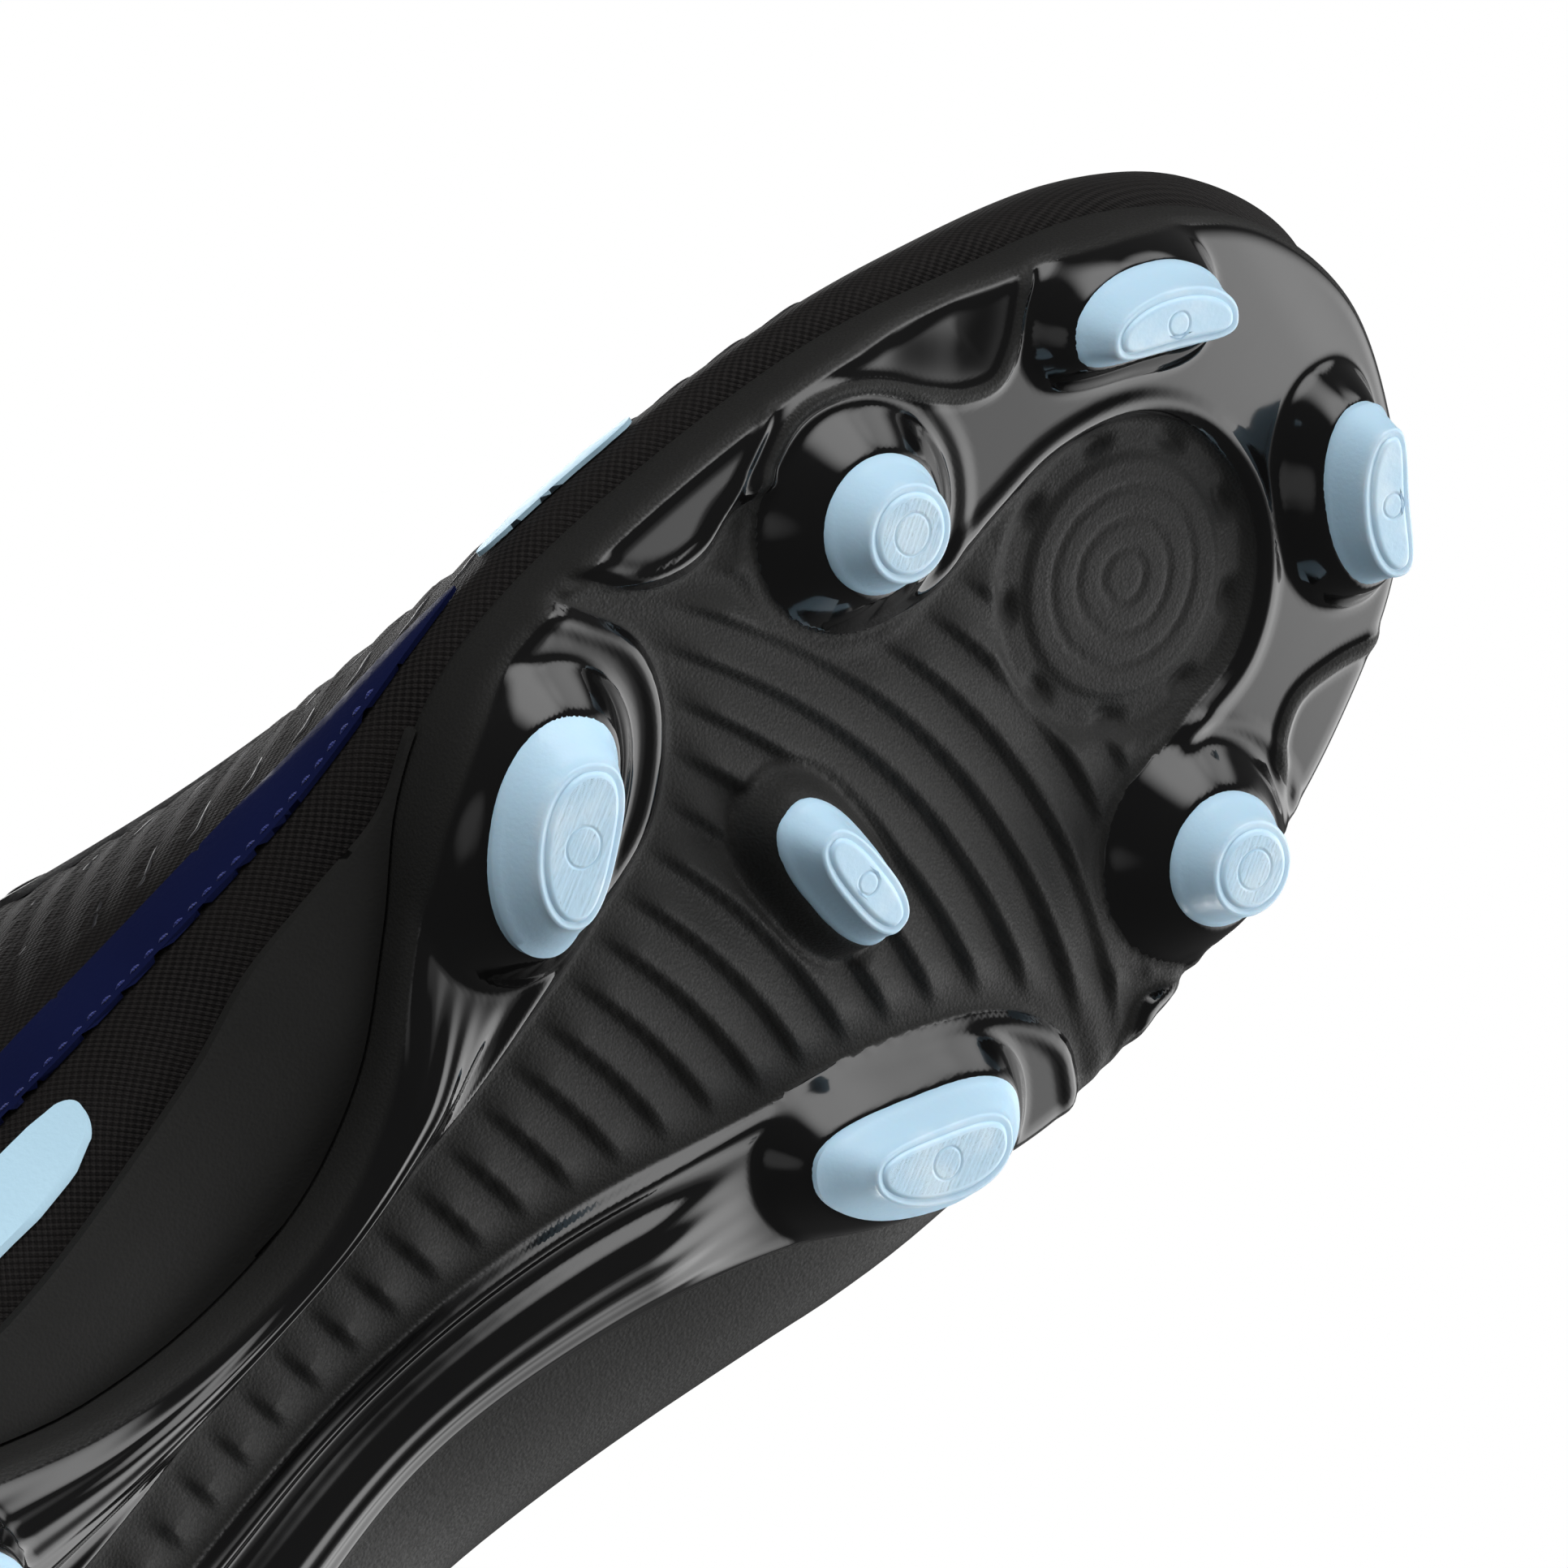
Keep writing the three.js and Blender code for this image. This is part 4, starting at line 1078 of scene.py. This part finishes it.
def all_eyelets(tree):
    """Cutters for every lace hole, as one object."""
    points, faces = [], []
    a = np.arange(EYELET_SIDES) / EYELET_SIDES * 2 * np.pi
    for side in SIDE_SIGN:
        for centre, normal, ahead, beside in eyelets(tree, side):
            circle = np.cos(a)[:, None] * ahead + np.sin(a)[:, None] * beside
            flip = bool(np.dot(np.cross(ahead, beside), normal) < 0)
            faces += ring_faces(2, EYELET_SIDES, start=len(points), flip=flip)
            points += np.vstack([centre + normal * h + circle * EYELET_RADIUS for h in (-6, 6)]).tolist()
    return mesh_object("cutter", np.array(points), faces, smooth=False)


def upper_shell(material, tree):
    obj = last_mesh("upper_knit", 230, 232, 0.0, -UPPER_THICKNESS, emboss=True)
    sole = prism(inset_ring(UPPER_OUTLINE, FEATHER_INSET)[::2], -10, 29)
    cut(obj, sole)
    cut(obj, above_top_line())
    cut(obj, prism(throat_outline(), STUD_HEIGHT + 30, COLLAR_HEIGHT * 2))
    cut(obj, all_eyelets(tree))
    sharpen(obj, 45)
    return finish_piece(obj, material, ("upper_shell",))


def overlay(name, cutters, thickness, trims):
    """A thin piece laid on the upper, kept inside its cutters and outside its trims."""
    obj = last_mesh(name, 150, 176, GAP + thickness, GAP)
    for cutter in cutters:
        cut(obj, cutter, "INTERSECT")
    for cutter in trims:
        cut(obj, cutter)
    sharpen(obj, 40)
    return obj


RAND = {
    "medial": [[58, -43.6], [55, -38.8], [52, -36.8], [48, -34.2], [44, -30], [38, -26.4], [32, -25.6],
               [27, -28], [24, -29.5], [25.5, -26], [30, -10], [42, -4], [50, -12], [56, -36]],
    "lateral": [[66, 50], [59, 48.6], [56, 46.6], [50, 44], [42, 41], [34, 38.2], [28, 36.8], [24, 34.5],
                [26, 31], [30, 20], [42, 16], [50, 20], [57, 33], [63, 40]],
}
RAND_TOP = 6.5


def rand_block(side, grow=0.0):
    plan = prism(inset_ring(outline_of(RAND[side], 6), -grow), -10, 80)
    slab = band_block(lambda x: 0 * x - 20, lambda x: upper_bottom(x) + RAND_TOP + grow)
    return cut(plan, slab, "INTERSECT")


def rand(side, material):
    trims = [prism(inset_ring(PLATE_OUTLINE, -GAP - 0.1)[::2], -10, 60)]
    obj = overlay("rand_leather_" + side, [rand_block(side)], OVERLAY_THICKNESS, trims)
    return finish_piece(obj, material, ("rand_" + side,))


def side_block(points, side):
    p = np.array(points, float)
    ring = catmull(np.stack([along(p[:, 0]), height_of(p[:, 1])], 1), 8)
    low, high = {"medial": (-WIDTH, -1), "lateral": (1, WIDTH)}[side]
    return prism(ring, low, high, "side")


BAND_REAR = [[48.6, 35], [40.4, 41], [30, 46.5], [20, 50], [17, 46], [20, 42], [30, 38.5], [38.2, 34.5],
             [46.2, 29.8]]
BAND = {
    "medial": [[63, 22.6], [56.5, 28.4], *BAND_REAR, [53.6, 24.2], [59, 22.2]],
    "lateral": [[62, 24], [56, 29], *BAND_REAR, [53.6, 25], [58, 23.4]],
}
BARS = {
    "side_bar_medial": ("medial", (40, 28.2), (22, 31.6), 3.6),
    "side_bar_lateral": ("lateral", (40, 28.2), (22, 31.6), 3.6),
    "forefoot_bar_medial": ("medial", (71.8, 22.6), (65.2, 24.6), 3.0),
}


def film(name, points, side, material, replaced):
    obj = overlay(name, [side_block(points, side)], FILM_THICKNESS, [rand_block(side, GAP)])
    return finish_piece(obj, material, (replaced,))


def bar_points(start, stop, height):
    end = height / LENGTH * COLLAR_HEIGHT * 0.5
    return [[start[0] + end, start[1]], [start[0], start[1] + height / 2], [stop[0], stop[1] + height / 2],
            [stop[0] - end, stop[1]], [stop[0], stop[1] - height / 2], [start[0], start[1] - height / 2]]


def backstay(material):
    plan = prism([(-2 * LENGTH, -9), (along(12), -9), (along(12), 9), (-2 * LENGTH, 9)],
                 STUD_HEIGHT + 18, COLLAR_HEIGHT * 2)
    low = band_block(lambda x: upper_bottom(x) + 16, lambda x: 0 * x + 300)
    obj = overlay("backstay_strip", [plan, low], OVERLAY_THICKNESS, [above_top_line(1)])
    return finish_piece(obj, material, ("backstay",))


EYESTAY_STATIONS = [69, 63, 57, 51, 47.2]
EYESTAY_WIDTH = 13


def eyestay(side, material, tree):
    sign = SIDE_SIGN[side]
    strip = []
    for order, reach in ((EYESTAY_STATIONS, 1.2), (EYESTAY_STATIONS[::-1], EYESTAY_WIDTH)):
        for t in order:
            middle, half = throat_edge(t)
            strip.append((t, (middle + sign * (half + reach)) / WIDTH * 100))
    block = prism(outline_of(strip, 8), STUD_HEIGHT + 34, COLLAR_HEIGHT * 2)
    trims = [above_top_line(1), all_eyelets(tree)]
    obj = overlay("eyestay_panel_" + side, [block], OVERLAY_THICKNESS, trims)
    return finish_piece(obj, material, ("eyestay_" + side,))


def eyelet_rims(material, tree):
    """Low rolled rims pressed round the lace holes."""
    for side in SIDE_SIGN:
        points, faces = [], []
        for centre, normal, ahead, beside in eyelets(tree, side):
            start, count, sides = len(points), 28, 8
            for i in range(count):
                a = i / count * 2 * math.pi
                out = ahead * math.cos(a) + beside * math.sin(a)
                for j in range(sides):
                    b = j / sides * 2 * math.pi
                    points.append(centre + out * (2.45 + 0.5 * math.cos(b))
                                  + normal * (0.05 + 0.42 * math.sin(b)))
            for i in range(count):
                for j in range(sides):
                    a, b = start + i * sides, start + ((i + 1) % count) * sides
                    faces.append([a + j, a + (j + 1) % sides, b + (j + 1) % sides, b + j])
        obj = mesh_object("eyelet_rims_" + side, np.array(points), faces)
        finish_piece(obj, material)


TONGUE_GAP = 0.9
TONGUE_ROUNDING = 2.2
TONGUE_CHANNELS = (42, 46.5, 51, 55.5, 60, 64.5)


def sheet_body(name, x, y, top, bottom):
    """A closed body between two heights over one grid of points."""
    count = x.size
    quads = np.roll(grid_quads(*x.shape), -1, axis=1)
    faces = quads.tolist() + (quads[:, ::-1] + count).tolist()
    edge = grid_edge(*x.shape)
    faces += [[k + count, after + count, after, k] for k, after in zip(edge, edge[1:] + edge[:1])]
    return mesh_object(name, np.vstack([np.stack([x, y, z], 2).reshape(-1, 3) for z in (top, bottom)]), faces)


def tongue(material):
    """A padded tongue with a bound edge and sewn channels, following the last."""
    rows, columns = 120, 40
    front = along(THROAT_FRONT)
    _, nose = throat_edge(THROAT_FRONT)
    x = np.linspace(along(TONGUE_TOP), front - TONGUE_GAP - 0.1, rows)
    middle, half = throat_edge(percent_at(x))
    half = half - TONGUE_GAP
    past = np.maximum(0, x - (front - nose)) / (nose - TONGUE_GAP)
    half = half * np.sqrt(np.maximum(0.01, 1 - past ** 2))
    rear = np.maximum(0, (x[0] + 9) - x) / 9
    half = half * (1 - 0.32 * rear ** 2.5)
    v = np.sin(np.linspace(-1, 1, columns) * np.pi / 2)
    gx = np.repeat(x[:, None], columns, 1)
    gy = middle[:, None] + half[:, None] * v[None, :]
    base = crown_height(gx, gy, -GAP)
    from_edge = (1 - np.abs(v))[None, :] * half[:, None]
    ends = np.minimum(x - x[0], x[-1] - x)[:, None]
    round_off = 1.0
    for away in (from_edge, ends):
        round_off = round_off * np.sqrt(np.clip(1 - (1 - np.clip(away / TONGUE_ROUNDING, 0, 1)) ** 2, 0, 1))
    channel = sum(bead(gx - along(t), 1.5) for t in TONGUE_CHANNELS)
    fringe = bead(from_edge - 2.6, 0.9)
    puff = 0.9 * round_off * (1 - 0.85 * channel) * np.where(gx > along(39.5), 1, 0.6)
    top = base - 0.9 + puff - 0.35 * fringe - (1 - round_off) * 1.4
    bottom = base - TONGUE_THICKNESS + (1 - round_off) * 1.5
    obj = sheet_body("tongue_pad", gx, gy, top, bottom)
    sharpen(obj, 60)
    finish_piece(obj, material, ("tongue",), body=TONGUE_BODY)


def sockliner(material):
    rows, columns = 150, 34
    x = np.linspace(along(2.2), along(97.4), rows)
    medial, lateral = upper_edges(x)
    inner = LINING + 0.6
    top_z = upper_bottom(x) + LINING + SOCKLINER_THICKNESS - 0.3
    lift = np.clip((widest_line(x) - top_z) / np.maximum(belly(x) - inner, 1), 0, 0.995)
    half = ((lateral - medial) / 2 - inner) * (1 - lift ** FEATHER_POWER) ** (1 / FEATHER_POWER)
    ends = np.clip(np.minimum(x - x[0], x[-1] - x) / 9, 0, 1)
    half = np.maximum(half * np.sqrt(np.clip(1 - (1 - ends) ** 2, 0.02, 1)), 2)
    v = np.sin(np.linspace(-1, 1, columns) * np.pi / 2)
    gx = np.repeat(x[:, None], columns, 1)
    gy = ((medial + lateral) / 2)[:, None] + half[:, None] * v
    cup = 0.3 * np.abs(v)[None, :] ** 4
    round_off = np.sqrt(np.clip(1 - np.clip((np.abs(v) - 0.9) / 0.1, 0, 1) ** 2, 0, 1))[None, :]
    bottom_z = upper_bottom(gx) + LINING + 0.15
    top = top_z[:, None] + cup * 2 - (1 - round_off) * 1.2 + 0.25 * np.cos(v * 2)[None, :]
    obj = sheet_body("sockliner_pad", gx, gy, top, np.minimum(bottom_z, top - 0.8))
    finish_piece(obj, material, ("sockliner",))


COLLAR_AXIS = (22, 1.0)
# Section of the roll: drop below the top line, and depth inwards from the upper's outside.
COLLAR_SECTION = [
    (5, -0.10), (4.2, -0.42), (2.6, -0.62), (1, -0.55), (-0.2, -0.05), (-0.9, 0.9), (-1.2, 2.2), (-1, 3.6),
    (0, 5), (2, 6.3), (5, 7.1), (9, 7.4), (13, 7.1), (17, 6.3), (20, 5.1), (22, 4.2), (23.5, 4.9),
    (27, 5.1), (31, 4.6), (36, 4.1), (44, 3.9), (54, 3.9), (66, 3.9), (80, 3.9),
    (80, 3.4), (60, 3.4), (40, 3.4), (24, 3), (14, 2.05), (6, 2), (1.4, 1.98),
    (0.3, 1.6), (0.2, 0.9), (0.4, 0.25), (1.6, 0.05), (4.0, 0.05)]


def collar(material, tree):
    """The padded collar: a soft roll over the top line that thins into the heel lining."""
    ax, ay = float(along(COLLAR_AXIS[0])), COLLAR_AXIS[1]
    turns = np.radians(np.linspace(-157, 157, 150))
    points = []
    for k, turn in enumerate(turns):
        out = Vector((-math.cos(turn), math.sin(turn), 0))
        z = 90.0
        for _ in range(8):
            hit, normal, _, _ = tree.ray_cast(Vector((ax, ay, z)), out)
            if hit is None:
                break
            z = 0.5 * z + 0.5 * float(height_of(top_line(hit.x)))
        if hit is None:
            continue
        end = min(1, (k + 1.5) / 7, (len(turns) - k + 0.5) / 7)
        ripple = 1 + 0.03 * math.sin(k * 1.3) + 0.02 * math.sin(k * 0.37 + 1)
        ring = []
        for drop, depth in COLLAR_SECTION:
            level = max(z - drop, float(upper_bottom(hit.x)) + 7.2 + (0.3 if depth < 3.5 else 0))
            spot, normal, _, _ = tree.ray_cast(Vector((ax, ay, min(level, z - 0.05))), out)
            if spot is None:
                spot = hit
            flat = Vector((normal.x, normal.y, 0))
            flat = flat.normalized() if flat.length > 1e-4 else out
            if flat.dot(out) < 0:
                flat = -flat
            thick = depth
            if depth >= 2.1:
                thick = 2.05 + (depth - 2.05) * math.sqrt(end) * (ripple if depth > 4.5 else 1)
            ring.append([spot.x - flat.x * thick, spot.y - flat.y * thick, level])
        points.append(ring)
    obj = mesh_object("collar_pad", np.array(points).reshape(-1, 3),
                      ring_faces(len(points), len(COLLAR_SECTION), flip=True))
    finish_piece(obj, material, ("collar_padding",))


def laid(tree, places, side):
    """Points and normals of one side of the surface at (along, height) places in millimetres."""
    found = [on_side(tree, x, z, side) for x, z in places]
    found = [pair for pair in found if pair is not None]
    return np.array([spot for spot, _ in found]), np.array([normal for _, normal in found])


# The rand's stitched upper edge on the medial side, as along and height in millimetres.
RAND_SEAM = [
    (32.5, 13.4), (26.7, 13.8), (19.2, 16.9), (12.6, 18.1), (5.2, 19.4), (-2.6, 21.0), (-6.6, 21.4),
    (-13.1, 21.9), (-18.4, 22.1), (-26.2, 22.1), (-34.2, 22.2), (-41.6, 21.5), (-49.8, 21.1)]


HOOK_POINTS = 9


def hooks(material, tree):
    """Slanted hook marks pressed into the weave above the band, one row behind the other."""
    for side in SIDE_SIGN:
        lines = []
        for row, lift in enumerate((3.0, 11.5, 20.0)):
            for x0 in np.arange(-62 + row * MARK_PITCH / 2, 84 - 12 * row, MARK_PITCH):
                t = float(percent_at(x0))
                band = np.interp(t, [20, 30, 40.4, 48.6, 56.5, 63, 80], [50, 46.5, 41, 35, 28.4, 22.6, 19])
                z0 = float(height_of(band)) + lift
                spots, normals = laid(tree, [(x0 + 5.6 * s - 1.2 * (1 - s) ** 3,
                                              z0 + 5.2 * s + 1.3 * max(0, 0.28 - s) / 0.28)
                                             for s in np.linspace(0, 1, HOOK_POINTS)], side)
                if len(spots) == HOOK_POINTS:
                    lines.append((spots, normals))
        ridges("hook_marks_" + side, lines, 0.3, material)


# ---------- stage, light and camera ----------

# Where the camera stands and looks, from the middle of the round pocket, in metres.
CAMERA_FROM = Vector((-0.3444, -0.5626, -0.7528))
FORWARD = Vector((0.30577, 0.56083, 0.76940))
RIGHT = Vector((0.65443, 0.46314, -0.59768))
UP = Vector((0.69154, -0.68627, 0.22541))
FOCAL = 218.0


def pocket_point():
    x, y = POCKET_AT
    return Vector(placed([x, y, STUD_HEIGHT]).tolist())


def camera():
    data = bpy.data.cameras.new("camera")
    data.lens = FOCAL
    data.sensor_width = 36
    data.clip_start = 0.01
    data.clip_end = 20
    obj = bpy.data.objects.new("camera", data)
    basis = Matrix((RIGHT, UP, -FORWARD)).transposed().to_4x4()
    obj.matrix_world = Matrix.Translation(pocket_point() + CAMERA_FROM) @ basis
    bpy.context.scene.collection.objects.link(obj)
    bpy.context.scene.camera = obj


def floor():
    """A pale floor, seen only from above, so the sole can be seen from under it."""
    size = 3.0
    mesh = bpy.data.meshes.new("floor")
    corners = [(-size, -size, 0), (size, -size, 0), (size, size, 0), (-size, size, 0)]
    mesh.from_pydata(corners, [], [(0, 1, 2, 3)])
    obj = bpy.data.objects.new("floor", mesh)
    bpy.context.scene.collection.objects.link(obj)
    n = Nodes("floor_pale")
    clear = n.add("ShaderNodeBsdfTransparent")
    behind = n.add("ShaderNodeNewGeometry").outputs["Backfacing"]
    mix = n.add("ShaderNodeMixShader")
    n.link(behind, mix.inputs[0])
    n.link(n.shader.outputs[0], mix.inputs[1])
    n.link(clear.outputs[0], mix.inputs[2])
    n.link(mix.outputs[0], n.tree.nodes["Material Output"].inputs["Surface"])
    grain = n.noise(30, 3)
    mesh.materials.append(n.finish(n.mix(grain, (0.78, 0.78, 0.78, 1), (0.82, 0.82, 0.82, 1)),
                                   n.ramp(grain, 0.3, 0.7, 0.6, 0.7)))
    for rays in ("glossy", "diffuse", "shadow", "transmission"):
        setattr(obj, "visible_" + rays, False)


def softbox(name, direction, size, energy, centre):
    """A soft area light, a metre from the boot in a direction."""
    data = bpy.data.lights.new(name, "AREA")
    data.shape = "RECTANGLE"
    data.size, data.size_y = size
    data.energy = energy
    obj = bpy.data.objects.new(name, data)
    spot = centre + direction.normalized()
    obj.location = spot
    obj.rotation_euler = (centre - spot).to_track_quat("-Z", "Y").to_euler()
    bpy.context.scene.collection.objects.link(obj)
    return obj


# Soft panels of the studio: direction, inner and outer half angle in degrees, radiance.
PANELS = (
    ((0.52, 0.79, -0.33), 10, 42, 3.6),
    ((0.31, 0.56, -0.77), 2, 26, 0.45),
    ((0.62, -0.64, -0.45), 8, 30, 4.0),
    ((0.95, -0.20, -0.22), 4, 18, 2.6),
    ((-0.80, -0.40, -0.45), 4, 16, 0.5),
)
AMBIENT = 0.10


def panel_glow(n, ray, direction, inner, outer, radiance):
    """Light from one soft panel, fading out from its middle."""
    facing = n.add("ShaderNodeVectorMath", operation="DOT_PRODUCT")
    n.link(ray, facing.inputs[0])
    facing.inputs[1].default_value = Vector(direction).normalized()
    edge, middle = math.cos(math.radians(outer)), math.cos(math.radians(inner))
    return n.ramp(facing.outputs["Value"], edge, middle, 0.0, radiance)


def world():
    """White behind the boot, and soft panels that light it and show in its gloss."""
    data = bpy.data.worlds.new("studio")
    bpy.context.scene.world = data
    data.use_nodes = True
    n = Nodes("studio", data.node_tree)
    ray = n.add("ShaderNodeTexCoord").outputs["Generated"]
    total = AMBIENT
    for panel in PANELS:
        total = n.math("ADD", panel_glow(n, ray, *panel), total)
    panels = n.tree.nodes["Background"]
    panels.inputs[0].default_value = (1, 1, 1, 1)
    n.link(total, panels.inputs[1])
    white = n.add("ShaderNodeBackground")
    white.inputs[0].default_value = (1, 1, 1, 1)
    white.inputs[1].default_value = 1.0
    mix = n.add("ShaderNodeMixShader")
    n.link(n.add("ShaderNodeLightPath").outputs["Is Camera Ray"], mix.inputs[0])
    n.link(panels.outputs[0], mix.inputs[1])
    n.link(white.outputs[0], mix.inputs[2])
    n.link(mix.outputs[0], n.tree.nodes["World Output"].inputs[0])


def lights():
    below = pocket_point() + Vector((-0.03, 0, 0))
    for name, direction, size, energy in (
            ("key", -FORWARD * 0.75 + UP * 0.75 - RIGHT * 0.35, (0.7, 0.35), 5),
            ("side", -FORWARD * 0.35 - UP * 0.55 + RIGHT * 0.9, (0.5, 0.25), 2.5),
            ("left", -FORWARD * 0.5 - RIGHT * 1.0 + UP * 0.1, (0.25, 0.7), 0.4),
            ("top", Vector((0.0, 0.35, 1.0)), (0.9, 0.9), 12),
            ("back", Vector((-0.9, 0.6, 0.6)), (0.6, 0.6), 10)):
        box = softbox(name, direction, size, energy, below)
        box.visible_glossy = name in ("top", "back")


bpy.context.scene.view_settings.view_transform = "Standard"
camera()
floor()
world()
lights()

plate(plate_material())
TIP = tip_material()
for item in STUDS:
    stud_tip(item, TIP)

FABRIC = fabric_material()
RAND_SKIN = leather_material("rand_synthetic", (0.0115, 0.0115, 0.011, 1), (0.0165, 0.0163, 0.0157, 1))
STAY_SKIN = leather_material("stay_synthetic", (0.010, 0.010, 0.0105, 1), (0.0155, 0.0155, 0.016, 1))
NAVY = film_material("navy_film", (0.0035, 0.0055, 0.030, 1), (0.005, 0.008, 0.042, 1), 0.42, 0.55, 0.12)
PALE = film_material("pale_film", (0.44, 0.66, 0.80, 1), (0.49, 0.70, 0.83, 1), 0.45, 0.55)
HOOK_FILM = film_material("hook_film", (0.016, 0.016, 0.018, 1), (0.024, 0.024, 0.026, 1), 0.36, 0.5)
THREAD_NAVY = knit_material("navy_thread", (0.012, 0.018, 0.10, 1), (0.03, 0.045, 0.22, 1), 0.0006)
THREAD_BLACK = knit_material("black_thread", (0.02, 0.02, 0.02, 1), (0.06, 0.06, 0.06, 1), 0.0006)
KNIT = knit_material("lining_knit", (0.007, 0.007, 0.008, 1), (0.03, 0.03, 0.033, 1))
TONGUE_KNIT = knit_material("tongue_knit", (0.008, 0.008, 0.0085, 1), (0.032, 0.031, 0.031, 1), 0.0013)
SOCK = knit_material("sockliner_cloth", (0.01, 0.012, 0.02, 1), (0.035, 0.042, 0.06, 1), 0.0012)

skin = outer_tree(0.0)
proud = outer_tree(GAP + OVERLAY_THICKNESS)
filmed = outer_tree(GAP + FILM_THICKNESS)
upper_shell(FABRIC, skin)
for side in SIDE_SIGN:
    rand(side, RAND_SKIN)
    eyestay(side, STAY_SKIN, skin)
    film("navy_band_" + side, BAND[side], side, NAVY, "side_band_" + side)
for name, (side, start, stop, height) in BARS.items():
    film(name + "_film", bar_points(start, stop, height), side, PALE, name)
backstay(STAY_SKIN)
eyelet_rims(STAY_SKIN, proud)
tongue(TONGUE_KNIT)
sockliner(SOCK)
collar(KNIT, skin)
hooks(HOOK_FILM, skin)
for side in SIDE_SIGN:
    low = np.array(BAND[side][7:])
    edge = catmull(np.stack([along(low[:, 0]), height_of(low[:, 1] + 0.7)], 1), 8, closed=False)
    spots, normals = laid(filmed, spaced(edge, 2.1), side)
    stitches("band_seam_" + side, spots, normals, 1.35, 0.17, THREAD_NAVY)

spots, normals = laid(outer_tree(0.25), spaced(catmull(RAND_SEAM, 6, closed=False), 1.7), "medial")
stitches("rand_seam_medial", spots, normals, 0.95, 0.17, THREAD_BLACK)

BOARD = leather_material("board_fibre", (0.42, 0.40, 0.35, 1), (0.5, 0.48, 0.43, 1))
STIFF = leather_material("stiffener_sheet", (0.12, 0.12, 0.12, 1), (0.16, 0.16, 0.16, 1))
for node, sheet in (("lasting_board", BOARD), ("toe_puff", STIFF), ("heel_counter", STIFF)):
    for slot in frame["nodes"][node].material_slots:
        slot.link = "OBJECT"
        slot.material = sheet
